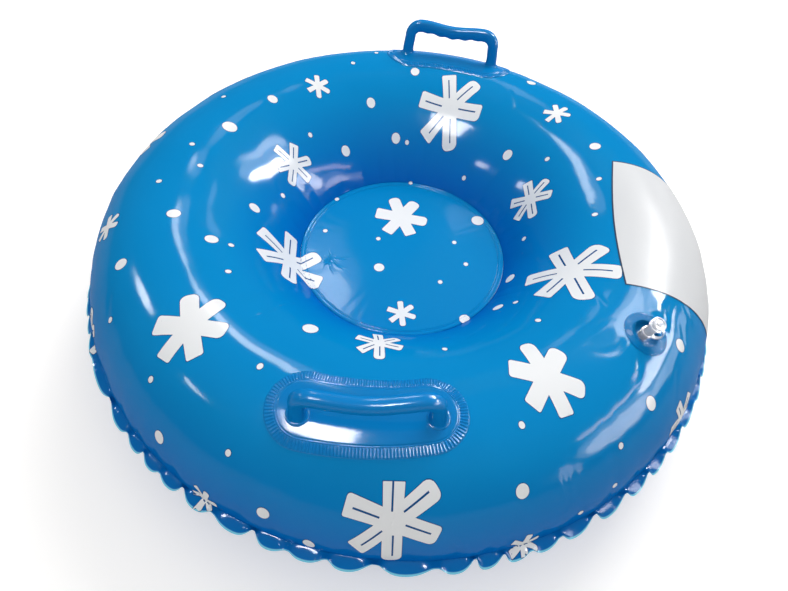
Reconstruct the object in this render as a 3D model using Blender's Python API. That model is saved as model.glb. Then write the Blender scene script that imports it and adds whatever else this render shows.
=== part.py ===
"""Inflatable snow tube, in metres, +Z up, resting on z = 0 with its middle on the Z axis.

Two PVC films are welded together round the outside and round a flat seat floor. Two moulded
handles stand on welded plates over the crown, and a push-in air valve sits in the upper film.
"""
import math

import bmesh
import bpy
import numpy as np
from mathutils import Matrix, Vector

# Inflated ring
BODY_RADIUS = 0.460
RING_WELD_RADIUS = 0.160
RING_WELD_WIDTH = 0.009
CROWN_SHARE = 0.573
FULLNESS_SHARE = 1.115
SEAT_RISE = 0.006
FILM_WALL = 0.0006
REST_FLAT_DEPTH = 0.0005
RUNNING_GAP = 0.0003
CUT_OVERRUN = 0.012
RING_SEGMENTS = 48
FLOOR_SEGMENTS = 32
INNER_WALL_STEPS = 4
SHOULDER_STEPS = 6
OUTER_WALL_STEPS = 5
TABLE_STEPS = 720
INNER_SHOULDER_SLOPE = math.radians(-20)
OUTER_SHOULDER_SLOPE = math.radians(25)
SLOPE_CLEARANCE = math.radians(4)
SHARP_EDGE = math.radians(35)

# Ruffled weld margin
MARGIN_WIDTH = 0.0147
MARGIN_INLAY = 0.004
MARGIN_ROOT = 0.001
WAVE_HEIGHT = 0.005
WAVE_COUNT = 60
SAMPLES_PER_WAVE = 4

# Handles
HANDLE_OUTSETS = {"front": 0.016, "rear": 0.034}
HANDLE_AZIMUTHS = {"front": math.radians(-93.3), "rear": math.radians(82.2)}
HANDLE_TWISTS = {"front": math.radians(6.3), "rear": math.radians(1.5)}
HANDLE_LEANS = {"front": math.radians(4), "rear": math.radians(6)}
GRIP_SPAN = 0.150
GRIP_TOP_SPAN = 0.146
GRIP_HEIGHT = 0.056
GRIP_BAR_HEIGHT = 0.020
GRIP_LEG_WIDTH = 0.018
GRIP_DEPTH = 0.018
GRIP_CORNER_RADIUS = 0.017
GRIP_BAR_DIP = 0.005
GRIP_BAR_BOW = 0.007
FINGER_WAVE_DEPTH = 0.0020
FINGER_WAVES = 5
WAVE_FADE_POWER = 8
GRIP_SQUARENESS = 2.6
GRIP_SECTION_POINTS = 12
LEG_STEPS = 2
CORNER_STEPS = 4
BAR_STEPS = 20

# Handle plates
PLATE_THICKNESS = 0.0016
PLATE_HALF_WIDTH = 0.0315
PLATE_END_MARGIN = 0.0235
WELD_BORDER_WIDTH = 0.0125
WELD_BORDER_THICKNESS = 0.0008
FOOT_RIM_WIDTH = 0.003
FOOT_RIM_HEIGHT = 0.0010
PLATE_RUN_STEPS = 10
PLATE_END_STEPS = 6
PLATE_CROSS_STEPS = 6

# Air valve, measured along its own axis from the film's outer face
VALVE_OUTSET = 0.033
VALVE_AZIMUTH = math.radians(-33.6)
FLANGE_RADIUS = 0.0285
FLANGE_THICKNESS = 0.0010
CUP_RADIUS = 0.016
CUP_WALL = 0.0010
CUP_DEPTH = 0.007
CUP_RIM_HEIGHT = 0.0012
FILM_HOLE_CLEARANCE = 0.0010
NECK_RADIUS = 0.0062
NECK_BORE_RADIUS = 0.0042
NECK_HEIGHT = 0.019
NECK_INNER_LENGTH = 0.008
NECK_COLLAR_RADIUS = 0.0080
NECK_COLLAR_HEIGHT = 0.0030
NECK_PRESS_TRAVEL = 0.008
NECK_STOP_RADIUS = 0.0080
NECK_STOP_THICKNESS = 0.0015
NECK_LIP_RADIUS = 0.0075
NECK_LIP_HEIGHT = 0.0025
STOPPER_RADIUS = 0.0090
STOPPER_HEAD_HEIGHT = 0.0080
STOPPER_GROOVE_DEPTH = 0.0012
STOPPER_PLUG_LENGTH = 0.010
STOPPER_CHAMFER = 0.0012
STRAP_WIDTH = 0.0050
STRAP_THICKNESS = 0.0012
STRAP_REACH = 0.0055
STRAP_STEPS = 8
FLAP_THICKNESS = 0.0008
FLAP_OVERLAP = 0.0012
VALVE_SEGMENTS = 24

# Blue film, darker blue mouldings and clear valve plastic
FILM_BLUE = (0.004, 0.270, 0.640)
PLATE_BLUE = (0.004, 0.240, 0.600)
GRIP_BLUE = (0.006, 0.120, 0.420)
VALVE_CLEAR = (0.82, 0.88, 0.92)

# Sizes that follow from the ones above
CROWN_RADIUS = RING_WELD_RADIUS + CROWN_SHARE * (BODY_RADIUS - RING_WELD_RADIUS)
BULGE = BODY_RADIUS ** 2 - CROWN_RADIUS ** 2
RING_SLOPE = math.asin((RING_WELD_RADIUS ** 2 - CROWN_RADIUS ** 2) / BULGE)
VALVE_RADIUS = CROWN_RADIUS + VALVE_OUTSET
MARGIN_HALF_THICKNESS = FILM_WALL
FOOT_RADIUS = GRIP_DEPTH / 2


def drop_table():
    """Film angles and the drop below the crown at each one.

    The film carries no load along its rings, so the sine of its angle grows with the radius
    squared, and r = sqrt(crown^2 + bulge * sin(angle)). The drop is the running sum of
    bulge * sin(angle) / (2 r), times the fullness.
    """
    slopes = np.linspace(RING_SLOPE, math.pi / 2, TABLE_STEPS + 1)
    radii = np.sqrt(CROWN_RADIUS ** 2 + BULGE * np.sin(slopes))
    rates = FULLNESS_SHARE * BULGE * np.sin(slopes) / (2 * radii)
    sums = np.concatenate([[0], np.cumsum((rates[1:] + rates[:-1]) / 2 * np.diff(slopes))])
    return slopes, sums - np.interp(0, slopes, sums)


SLOPES, DROPS = drop_table()
RING_DROP = float(DROPS[0])
HALF_HEIGHT = float(DROPS[-1])
SEAM_HEIGHT = HALF_HEIGHT - REST_FLAT_DEPTH
SEAT_HEIGHT = SEAM_HEIGHT + SEAT_RISE
UPPER_RING_DROP = HALF_HEIGHT - SEAT_RISE
LOWER_RING_DROP = HALF_HEIGHT + SEAT_RISE


def film_face(slopes, ring_drop):
    """Radius, height off the seam plane and outward normal of a film's outer face.

    The inner wall is stretched in height so that it ends at the seat, ring_drop from the crown.
    """
    slopes = np.asarray(slopes, dtype=float)
    stretch = np.where(slopes < 0, ring_drop / RING_DROP, 1)
    radii = np.sqrt(CROWN_RADIUS ** 2 + BULGE * np.sin(slopes))
    heights = HALF_HEIGHT - stretch * np.interp(slopes, SLOPES, DROPS)
    tilts = np.arctan2(FULLNESS_SHARE * stretch * np.sin(slopes), np.cos(slopes))
    return np.stack([radii, heights], -1), np.stack([np.sin(tilts), np.cos(tilts)], -1)


def on_film(azimuth, radius, lift):
    """Point at a lift along the normal over the upper film's smooth outer face."""
    sine = (np.asarray(radius, dtype=float) ** 2 - CROWN_RADIUS ** 2) / BULGE
    slope = np.clip(np.arcsin(np.clip(sine, -1, 1)), RING_SLOPE, math.pi / 2)
    point, normal = film_face(slope, UPPER_RING_DROP)
    reach = point[..., 0] + lift * normal[..., 0]
    height = SEAM_HEIGHT + point[..., 1] + lift * normal[..., 1]
    return np.stack([reach * np.cos(azimuth), reach * np.sin(azimuth), height], -1)


def film_frame(azimuth, radius, lift):
    """Axes at a point over the film: x outwards, y along the ring, z along the normal."""
    origin = Vector(on_film(azimuth, radius, lift))
    normal = (Vector(on_film(azimuth, radius, lift + FILM_WALL)) - origin).normalized()
    along = Vector((-math.sin(azimuth), math.cos(azimuth), 0))
    return frame_of(origin, along.cross(normal), normal)


def frame_of(origin, x_axis, z_axis):
    x_axis = x_axis.normalized()
    y_axis = z_axis.cross(x_axis).normalized()
    turn = Matrix((x_axis, y_axis, x_axis.cross(y_axis))).transposed()
    return Matrix.Translation(origin) @ turn.to_4x4()


def clear_scene():
    for item in list(bpy.data.objects):
        bpy.data.objects.remove(item, do_unlink=True)


def material(name, colour, roughness, transmission=0.0):
    finish = bpy.data.materials.new(name)
    finish.use_nodes = True
    shader = finish.node_tree.nodes["Principled BSDF"]
    shader.inputs["Base Color"].default_value = (*colour, 1)
    shader.inputs["Roughness"].default_value = roughness
    shader.inputs["Metallic"].default_value = 0
    shader.inputs["Transmission Weight"].default_value = transmission
    return finish


def solid(name, points, faces, finish, place=None):
    """Object with its faces turned outwards, placed by a matrix where one is given."""
    shape = bmesh.new()
    corners = [shape.verts.new(point) for point in points]
    for face in faces:
        shape.faces.new([corners[index] for index in face])
    bmesh.ops.recalc_face_normals(shape, faces=shape.faces)
    mesh = bpy.data.meshes.new(name)
    shape.to_mesh(mesh)
    shape.free()
    mesh.shade_smooth()
    mesh.set_sharp_from_angle(angle=SHARP_EDGE)
    mesh.materials.append(finish)
    item = bpy.data.objects.new(name, mesh)
    bpy.context.collection.objects.link(item)
    if place is not None:
        item.matrix_world = place
    return item


def turned(name, outline, segments, finish, place=None):
    """Solid of revolution about z from a closed outline of radius and height.

    An outline whose first and last points have no radius closes with a pole at each of them.
    """
    outline = np.asarray(outline, dtype=float)
    poles = outline[0, 0] == 0 and outline[-1, 0] == 0
    rings = outline[1:-1] if poles else outline
    angles = np.arange(segments) * 2 * math.pi / segments
    points = [(r * math.cos(a), r * math.sin(a), z) for r, z in rings for a in angles]
    pairs = len(rings) - 1 if poles else len(rings)
    faces = []
    for row in range(pairs):
        low, high = row * segments, (row + 1) % len(rings) * segments
        for i in range(segments):
            j = (i + 1) % segments
            faces.append((low + i, low + j, high + j, high + i))
    if poles:
        points += [(0, 0, outline[0, 1]), (0, 0, outline[-1, 1])]
        last = (len(rings) - 1) * segments
        for i in range(segments):
            j = (i + 1) % segments
            faces.append((len(points) - 2, j, i))
            faces.append((len(points) - 1, last + i, last + j))
    return solid(name, points, faces, finish, place)


def combine(item, operation, tool):
    """Boolean that stays live on the item, with its tool hidden from the build."""
    step = item.modifiers.new(operation.lower(), "BOOLEAN")
    step.operation = operation
    step.object = tool
    step.solver = "EXACT"
    tool.hide_render = True
    tool.display_type = "WIRE"


def film_slopes(crown_slopes, shoulder_steps):
    """Film angles from the ring weld to the outer seam, closest together over the crown."""
    inner = np.linspace(RING_SLOPE, INNER_SHOULDER_SLOPE, INNER_WALL_STEPS + 1)[:-1]
    shoulder = np.linspace(INNER_SHOULDER_SLOPE, OUTER_SHOULDER_SLOPE, shoulder_steps + 1)
    spare = np.abs(np.subtract.outer(shoulder, crown_slopes)).min(axis=1)
    shoulder = shoulder[spare > SLOPE_CLEARANCE]
    outer = np.linspace(OUTER_SHOULDER_SLOPE, math.pi / 2, OUTER_WALL_STEPS + 1)[1:]
    return np.sort(np.concatenate([inner, shoulder, crown_slopes, outer]))


def film_outline(slopes, ring_drop, flat_depth):
    """Closed outline of one film: its outer face, then its inner face a wall inside it."""
    outside, normals = film_face(slopes, ring_drop)
    outside[:, 1] = np.minimum(outside[:, 1], HALF_HEIGHT - flat_depth)
    inside = outside - FILM_WALL * normals
    ring_end = HALF_HEIGHT - ring_drop + RUNNING_GAP / 2
    seam_end = MARGIN_HALF_THICKNESS + RUNNING_GAP
    outside[0] = RING_WELD_RADIUS, ring_end + FILM_WALL / normals[0, 1]
    inside[0] = RING_WELD_RADIUS, ring_end
    outside[-1] = BODY_RADIUS, seam_end
    inside[-1] = BODY_RADIUS - FILM_WALL, seam_end
    return np.concatenate([outside, inside[::-1]])


def upper_slopes():
    return film_slopes(np.array([0.0]), SHOULDER_STEPS)


def make_films(finish):
    upper = film_outline(upper_slopes(), UPPER_RING_DROP, 0)
    upper[:, 1] += SEAM_HEIGHT
    upper_film = turned("upper_film", upper, RING_SEGMENTS, finish)
    flat_slope = float(np.interp(REST_FLAT_DEPTH, DROPS[SLOPES >= 0], SLOPES[SLOPES >= 0]))
    slopes = film_slopes(np.array([-flat_slope, flat_slope]), SHOULDER_STEPS // 2)
    lower = film_outline(slopes, LOWER_RING_DROP, REST_FLAT_DEPTH)
    lower[:, 1] = SEAM_HEIGHT - lower[:, 1]
    turned("lower_film", lower, RING_SEGMENTS, finish)
    return upper_film


def film_cutter(name, finish):
    """Everything under the upper film's outer face, swollen by the running gap."""
    outside, normals = film_face(upper_slopes(), UPPER_RING_DROP)
    outside[0] = film_outline(upper_slopes(), UPPER_RING_DROP, 0)[0]
    outside += RUNNING_GAP * normals
    floor = -CUT_OVERRUN
    under = np.array([[outside[-1, 0], floor], [outside[0, 0], floor]])
    outline = np.concatenate([outside, under])
    outline[:, 1] += SEAM_HEIGHT
    return turned(name, outline, RING_SEGMENTS, finish)


def make_seat(finish):
    """Ring weld where the films are fused, and the two floor layers inside it."""
    weld_half = FILM_WALL + RUNNING_GAP / 2
    inner = RING_WELD_RADIUS - RING_WELD_WIDTH
    outer = RING_WELD_RADIUS - RUNNING_GAP
    low, high = SEAT_HEIGHT - weld_half, SEAT_HEIGHT + weld_half
    turned("ring_weld", [(inner, low), (outer, low), (outer, high), (inner, high)],
           RING_SEGMENTS, finish)
    edge = inner - RUNNING_GAP
    edge *= math.cos(math.pi / RING_SEGMENTS)
    for name, side in (("seat_floor_upper", 1), ("seat_floor_lower", -1)):
        near = SEAT_HEIGHT + side * RUNNING_GAP / 2
        far = near + side * FILM_WALL
        turned(name, [(0, near), (edge, near), (edge, far), (0, far)], FLOOR_SEGMENTS, finish)


def make_margin(finish):
    """Fused rim: flat between the films' edges, then a vertical wave that grows outwards.

    Its two faces are split along the same diagonals, so that the sheet keeps its thickness.
    """
    count = WAVE_COUNT * SAMPLES_PER_WAVE
    angles = (np.arange(count) + 0.5) * 2 * math.pi / count
    wave = WAVE_HEIGHT * np.cos(WAVE_COUNT * angles) / math.cos(math.pi / SAMPLES_PER_WAVE)
    radii = (BODY_RADIUS - MARGIN_INLAY, BODY_RADIUS + MARGIN_ROOT, BODY_RADIUS + MARGIN_WIDTH)
    lifts = (0 * wave, 0 * wave, wave)
    rows = []
    for side, order in ((-1, (0, 1, 2)), (1, (2, 1, 0))):
        for k in order:
            height = SEAM_HEIGHT + lifts[k] + side * MARGIN_HALF_THICKNESS
            rows.append(np.stack([radii[k] * np.cos(angles), radii[k] * np.sin(angles), height], 1))
    points = [tuple(point) for row in rows for point in row]
    faces = []
    for k in range(len(rows)):
        low, high = k * count, (k + 1) % len(rows) * count
        for i in range(count):
            j = (i + 1) % count
            if k < len(radii):
                faces += [(low + i, low + j, high + j), (low + i, high + j, high + i)]
            else:
                faces += [(low + i, low + j, high + i), (low + j, high + j, high + i)]
    solid("outer_weld_margin", points, faces, finish)


def film_plate(name, half_length, half_width, thickness, where, finish):
    """Blank for a plate with round ends that lies on the film and reaches well into it.

    Stations run along the plate, and its width there is that of a straight run or a round end.
    """
    run = half_length - half_width
    turn = np.linspace(0, math.pi / 2, PLATE_END_STEPS + 1)[1:-1]
    ends = run + half_width * np.cos(turn)
    if run > RUNNING_GAP:
        middle = np.linspace(-run, run, PLATE_RUN_STEPS + 1)
    else:
        middle = np.zeros(1)
    along = np.concatenate([-ends, middle, ends[::-1]])
    widths = np.concatenate([half_width * np.sin(turn), np.full(len(middle), half_width),
                             half_width * np.sin(turn[::-1])])
    shares = np.linspace(-1, 1, PLATE_CROSS_STEPS + 1)
    u, v = along[:, None] + 0 * shares, widths[:, None] * shares
    top = where(u, v, RUNNING_GAP + thickness).reshape(-1, 3)
    low = where(u, v, -CUT_OVERRUN).reshape(-1, 3)
    tips = [where(side * half_length, 0.0, lift)
            for side in (-1, 1) for lift in (RUNNING_GAP + thickness, -CUT_OVERRUN)]
    points = [tuple(point) for point in (*top, *low, *tips)]
    across, count = len(shares), len(top)
    stations = len(along)
    faces = []
    for row in range(stations - 1):
        for k in range(across - 1):
            a, b = row * across + k, (row + 1) * across + k
            faces.append((a, b, b + 1, a + 1))
            faces.append((count + a, count + a + 1, count + b + 1, count + b))
        for k in (0, across - 1):
            a, b = row * across + k, (row + 1) * across + k
            faces.append((a, b, count + b, count + a))
    for tip, row in ((2 * count, 0), (2 * count + 2, (stations - 1) * across)):
        for k in range(across - 1):
            faces.append((tip, row + k, row + k + 1))
            faces.append((tip + 1, count + row + k + 1, count + row + k))
        for k in (0, across - 1):
            faces.append((tip, row + k, count + row + k, tip + 1))
    return solid(name, points, faces, finish)


def handle_radius(side):
    return CROWN_RADIUS + HANDLE_OUTSETS[side]


def handle_places(side):
    """Placing function of a handle's plate: u along the ring and v inwards, turned by its twist."""
    azimuth, twist, middle = HANDLE_AZIMUTHS[side], HANDLE_TWISTS[side], handle_radius(side)

    def where(u, v, lift):
        along = np.asarray(u * math.cos(twist) - v * math.sin(twist), dtype=float)
        inwards = np.asarray(u * math.sin(twist) + v * math.cos(twist), dtype=float)
        return on_film(azimuth + along / middle, middle - inwards, lift)

    return where


def handle_frame(side):
    """Axes of a handle: x from foot to foot along the lean axis, z along the film's normal.

    The feet lie on a chord at the handle's radius, and the axis is a foot radius over the rims.
    """
    azimuth, twist = HANDLE_AZIMUTHS[side], HANDLE_TWISTS[side]
    out = Vector((math.cos(azimuth), math.sin(azimuth), 0))
    along = Vector((-math.sin(azimuth), math.cos(azimuth), 0))
    chord = along * math.cos(twist) - out * math.sin(twist)
    lift = RUNNING_GAP + PLATE_THICKNESS + FOOT_RIM_HEIGHT + RUNNING_GAP + FOOT_RADIUS
    feet = []
    for end in (-1, 1):
        foot = out * handle_radius(side) + chord * (end * GRIP_SPAN / 2)
        feet.append(Vector(on_film(math.atan2(foot.y, foot.x), foot.to_2d().length, lift)))
    middle = film_frame(azimuth, handle_radius(side), lift)
    x_axis = (feet[1] - feet[0]).normalized()
    normal = middle.to_3x3().col[2]
    upright = (normal - normal.dot(x_axis) * x_axis).normalized()
    return frame_of((feet[0] + feet[1]) / 2, x_axis, upright)


def section_shares():
    """Unit section with blunt corners, as shares of its two half sizes."""
    steps = (np.arange(GRIP_SECTION_POINTS) + 0.5) * 2 * math.pi / GRIP_SECTION_POINTS
    power = 2 / GRIP_SQUARENESS
    across = np.sign(np.cos(steps)) * np.abs(np.cos(steps)) ** power
    deep = np.sign(np.sin(steps)) * np.abs(np.sin(steps)) ** power
    return across, deep


def grip_stations():
    """Centre, in-plane outward direction and half sizes at each station from foot to foot."""
    half_span, half_top = GRIP_SPAN / 2, GRIP_TOP_SPAN / 2
    top = GRIP_HEIGHT - FOOT_RADIUS - GRIP_BAR_HEIGHT / 2
    knee = top - GRIP_CORNER_RADIUS
    half_run = half_top - GRIP_CORNER_RADIUS
    leg = GRIP_LEG_WIDTH / 2
    bar = GRIP_BAR_HEIGHT / 2
    rows = [(share * (half_span - half_top) - half_span, share * knee, -1.0, 0.0, leg, leg)
            for share in np.linspace(0, 1, LEG_STEPS + 1)]
    for turn in np.linspace(0, math.pi / 2, CORNER_STEPS + 1)[1:-1]:
        side, rise = -math.cos(turn), math.sin(turn)
        size = leg + (bar - leg) * turn / (math.pi / 2)
        rows.append((-half_run + GRIP_CORNER_RADIUS * side, knee + GRIP_CORNER_RADIUS * rise,
                     side, rise, size, size))
    for share in np.linspace(-1, 1, BAR_STEPS + 1):
        dip = GRIP_BAR_DIP * math.cos(math.pi * share / 2) ** 2
        fade = 1 - share ** WAVE_FADE_POWER
        wave = FINGER_WAVE_DEPTH / 2 * math.cos(math.pi * FINGER_WAVES * (share + 1)) * fade
        rows.append((share * half_run, top - dip, 0.0, 1.0, bar, bar - wave))
    mirrored = [(-x, z, -side, rise, outer, inner)
                for x, z, side, rise, outer, inner in rows[:LEG_STEPS + CORNER_STEPS][::-1]]
    return rows + mirrored


def make_grip(side, finish):
    """Bar and legs swept from foot to foot, leaning inwards about the feet's round soles."""
    across, deep = section_shares()
    count = len(across)
    half_span = GRIP_SPAN / 2
    points = []
    for x, z, out_x, out_z, outer, inner in grip_stations():
        bow = GRIP_BAR_BOW * max(1 - (x / half_span) ** 2, 0)
        for share, depth in zip(across, deep):
            reach = share * (outer if share > 0 else inner)
            points.append((x + out_x * reach, depth * FOOT_RADIUS - bow, z + out_z * reach))
    stations = len(points) // count
    faces = []
    for row in range(stations - 1):
        for i in range(count):
            j = (i + 1) % count
            low, high = row * count, (row + 1) * count
            faces.append((low + i, low + j, high + j, high + i))
    quarter = count // 4
    for first in (0, (stations - 1) * count):
        soles = {}
        for i in range(count):
            x, y, _ = points[first + i]
            sole = math.sqrt(max(FOOT_RADIUS ** 2 - y ** 2, 0))
            soles[i] = len(points)
            points.append((x, y, -sole))
        for i in range(count):
            j = (i + 1) % count
            faces.append((first + i, first + j, soles[j], soles[i]))
        for k in range(-quarter, quarter - 1):
            a, b = k % count, (k + 1) % count
            c, d = (count // 2 - 2 - k) % count, (count // 2 - 1 - k) % count
            faces.append((soles[a], soles[b], soles[c], soles[d]))
    leaned = handle_frame(side) @ Matrix.Rotation(-HANDLE_LEANS[side], 4, "X")
    return solid(f"{side}_handle_grip", points, faces, finish, leaned)


def make_foot_rim(name, end, frame, finish):
    """Low boss round a foot, whose flat top faces the foot's sole."""
    count = GRIP_SECTION_POINTS * 2
    angles = np.arange(count) * 2 * math.pi / count
    wide = GRIP_LEG_WIDTH / 2 + FOOT_RIM_WIDTH
    deep = FOOT_RADIUS + FOOT_RIM_WIDTH
    top = -FOOT_RADIUS - RUNNING_GAP
    low = top - FOOT_RIM_HEIGHT - PLATE_THICKNESS - CUT_OVERRUN / 2
    centre = end * GRIP_SPAN / 2
    points = [(centre + wide * math.cos(a), deep * math.sin(a), z) for z in (top, low) for a in angles]
    faces = [tuple(range(count)), tuple(range(2 * count - 1, count - 1, -1))]
    faces += [(i, (i + 1) % count, count + (i + 1) % count, count + i) for i in range(count)]
    return solid(name, points, faces, finish, frame)


def make_handle(side, plate_finish, grip_finish):
    where = handle_places(side)
    frame = handle_frame(side)
    half_length = GRIP_SPAN / 2 + PLATE_END_MARGIN
    plate = film_plate(f"{side}_handle_plate", half_length, PLATE_HALF_WIDTH, PLATE_THICKNESS,
                       where, plate_finish)
    border = film_plate(f"{side}_weld_border", half_length + WELD_BORDER_WIDTH,
                        PLATE_HALF_WIDTH + WELD_BORDER_WIDTH, WELD_BORDER_THICKNESS,
                        where, plate_finish)
    combine(plate, "UNION", border)
    for end, word in ((-1, "left"), (1, "right")):
        rim = make_foot_rim(f"{side}_{word}_rim", end, frame, plate_finish)
        combine(plate, "UNION", rim)
    combine(plate, "DIFFERENCE", film_cutter(f"{side}_film_shape", plate_finish))
    make_grip(side, grip_finish)


def valve_frame():
    return film_frame(VALVE_AZIMUTH, VALVE_RADIUS, 0)


def valve_places(u, v, lift):
    along = np.asarray(u, dtype=float)
    return on_film(VALVE_AZIMUTH + along / VALVE_RADIUS, VALVE_RADIUS - np.asarray(v), lift)


def make_valve_flange(upper_film, finish):
    """Weld disc with a round cup let into it, and the hole that the cup needs in the film."""
    frame = valve_frame()
    disc = film_plate("valve_flange", FLANGE_RADIUS, FLANGE_RADIUS, FLANGE_THICKNESS,
                      valve_places, finish)
    combine(disc, "DIFFERENCE", film_cutter("valve_film_shape", finish))
    mouth = CUP_RADIUS + CUP_WALL / 2
    combine(disc, "DIFFERENCE", post("cup_mouth", mouth, -CUT_OVERRUN, CUT_OVERRUN, finish, frame))
    outer = CUP_RADIUS + CUP_WALL
    hole = NECK_RADIUS + RUNNING_GAP
    rim = FLANGE_THICKNESS + CUP_RIM_HEIGHT
    cup = turned("valve_cup", [(CUP_RADIUS, rim), (CUP_RADIUS, -CUP_DEPTH), (hole, -CUP_DEPTH),
                               (hole, -CUP_DEPTH - CUP_WALL), (outer, -CUP_DEPTH - CUP_WALL),
                               (outer, rim)], VALVE_SEGMENTS, finish, frame)
    combine(disc, "UNION", cup)
    film_hole = outer + FILM_HOLE_CLEARANCE
    combine(upper_film, "DIFFERENCE",
            post("film_hole", film_hole, -CUP_DEPTH - CUT_OVERRUN, CUT_OVERRUN, finish, frame))


def post(name, radius, low, high, finish, frame):
    return turned(name, [(0, low), (radius, low), (radius, high), (0, high)],
                  VALVE_SEGMENTS, finish, frame)


def make_valve_neck(finish):
    """Tube through the cup's floor, with a stop under it and a collar a press travel over it."""
    under = -CUP_DEPTH - CUP_WALL - RUNNING_GAP
    inner_end = under - NECK_INNER_LENGTH
    collar = -CUP_DEPTH + NECK_PRESS_TRAVEL + RUNNING_GAP
    outline = [(NECK_BORE_RADIUS, inner_end), (NECK_RADIUS, inner_end),
               (NECK_RADIUS, under - NECK_STOP_THICKNESS),
               (NECK_STOP_RADIUS, under - NECK_STOP_THICKNESS), (NECK_STOP_RADIUS, under),
               (NECK_RADIUS, under), (NECK_RADIUS, collar), (NECK_COLLAR_RADIUS, collar),
               (NECK_COLLAR_RADIUS, collar + NECK_COLLAR_HEIGHT),
               (NECK_RADIUS, collar + NECK_COLLAR_HEIGHT),
               (NECK_RADIUS, NECK_HEIGHT - NECK_LIP_HEIGHT),
               (NECK_LIP_RADIUS, NECK_HEIGHT - NECK_LIP_HEIGHT), (NECK_LIP_RADIUS, NECK_HEIGHT),
               (NECK_BORE_RADIUS, NECK_HEIGHT)]
    turned("valve_neck", outline, VALVE_SEGMENTS, finish, valve_frame())


def make_check_flap(finish):
    """Disc under the neck's inner end, with its origin on its hinge at the edge."""
    radius = NECK_BORE_RADIUS + FLAP_OVERLAP
    top = -CUP_DEPTH - CUP_WALL - RUNNING_GAP - NECK_INNER_LENGTH - RUNNING_GAP
    frame = valve_frame() @ Matrix.Translation((-radius, 0, top))
    turned_disc = [(0, -FLAP_THICKNESS), (radius, -FLAP_THICKNESS), (radius, 0), (0, 0)]
    flap = turned("check_flap", turned_disc, VALVE_SEGMENTS, finish, frame)
    flap.data.transform(Matrix.Translation((radius, 0, 0)))


def make_stopper(finish):
    """Plug in the neck's bore under a grooved cap that rests on the neck's lip."""
    seat = NECK_HEIGHT + RUNNING_GAP
    plug = NECK_BORE_RADIUS - RUNNING_GAP
    top = seat + STOPPER_HEAD_HEIGHT
    waist = STOPPER_RADIUS - STOPPER_GROOVE_DEPTH
    third = STOPPER_HEAD_HEIGHT / 3
    outline = [(0, seat - STOPPER_PLUG_LENGTH), (plug, seat - STOPPER_PLUG_LENGTH), (plug, seat),
               (STOPPER_RADIUS, seat), (STOPPER_RADIUS, seat + third), (waist, seat + third),
               (waist, seat + 2 * third), (STOPPER_RADIUS, seat + 2 * third),
               (STOPPER_RADIUS, top - STOPPER_CHAMFER), (STOPPER_RADIUS - STOPPER_CHAMFER, top),
               (0, top)]
    turned("valve_stopper", outline, VALVE_SEGMENTS, finish, valve_frame())


def make_strap(finish):
    """Flat band that arches outwards from the neck's collar up to the stopper's cap."""
    collar = -CUP_DEPTH + NECK_PRESS_TRAVEL + RUNNING_GAP + NECK_COLLAR_HEIGHT / 2
    cap = NECK_HEIGHT + RUNNING_GAP + STOPPER_HEAD_HEIGHT / 6
    start = NECK_COLLAR_RADIUS + RUNNING_GAP
    end = STOPPER_RADIUS + RUNNING_GAP
    points = []
    for share in np.linspace(0, 1, STRAP_STEPS + 1):
        turn = math.pi * share
        base = start + (end - start) * share
        x = base + STRAP_REACH * math.sin(turn)
        z = collar + (cap - collar) * (1 - math.cos(turn)) / 2
        slope_x = (end - start) / math.pi + STRAP_REACH * math.cos(turn)
        slope_z = (cap - collar) * math.sin(turn) / 2
        length = math.hypot(slope_x, slope_z)
        side_x, side_z = slope_z / length, -slope_x / length
        for width, thick in ((-1, -1), (1, -1), (1, 1), (-1, 1)):
            points.append((x + side_x * thick * STRAP_THICKNESS / 2, width * STRAP_WIDTH / 2,
                           z + side_z * thick * STRAP_THICKNESS / 2))
    faces = [(3, 2, 1, 0)]
    for row in range(STRAP_STEPS):
        for i in range(4):
            j = (i + 1) % 4
            faces.append((4 * row + i, 4 * row + j, 4 * row + 4 + j, 4 * row + 4 + i))
    last = 4 * STRAP_STEPS
    faces.append((last, last + 1, last + 2, last + 3))
    solid("stopper_strap", points, faces, finish, valve_frame())


def build():
    clear_scene()
    film = material("film", FILM_BLUE, 0.22)
    plate = material("plate", PLATE_BLUE, 0.15)
    grip = material("grip", GRIP_BLUE, 0.28)
    clear = material("clear_plastic", VALVE_CLEAR, 0.12, 0.7)
    upper_film = make_films(film)
    make_seat(film)
    make_margin(film)
    for side in HANDLE_AZIMUTHS:
        make_handle(side, plate, grip)
    make_valve_flange(upper_film, clear)
    make_valve_neck(clear)
    make_check_flap(clear)
    make_stopper(clear)
    make_strap(clear)


build()
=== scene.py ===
"""Snow tube: printed film, ruffled weld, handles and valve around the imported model."""
import math

import bmesh
import bpy
import numpy as np
from mathutils import Matrix, Vector
from mathutils.geometry import delaunay_2d_cdt


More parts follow.
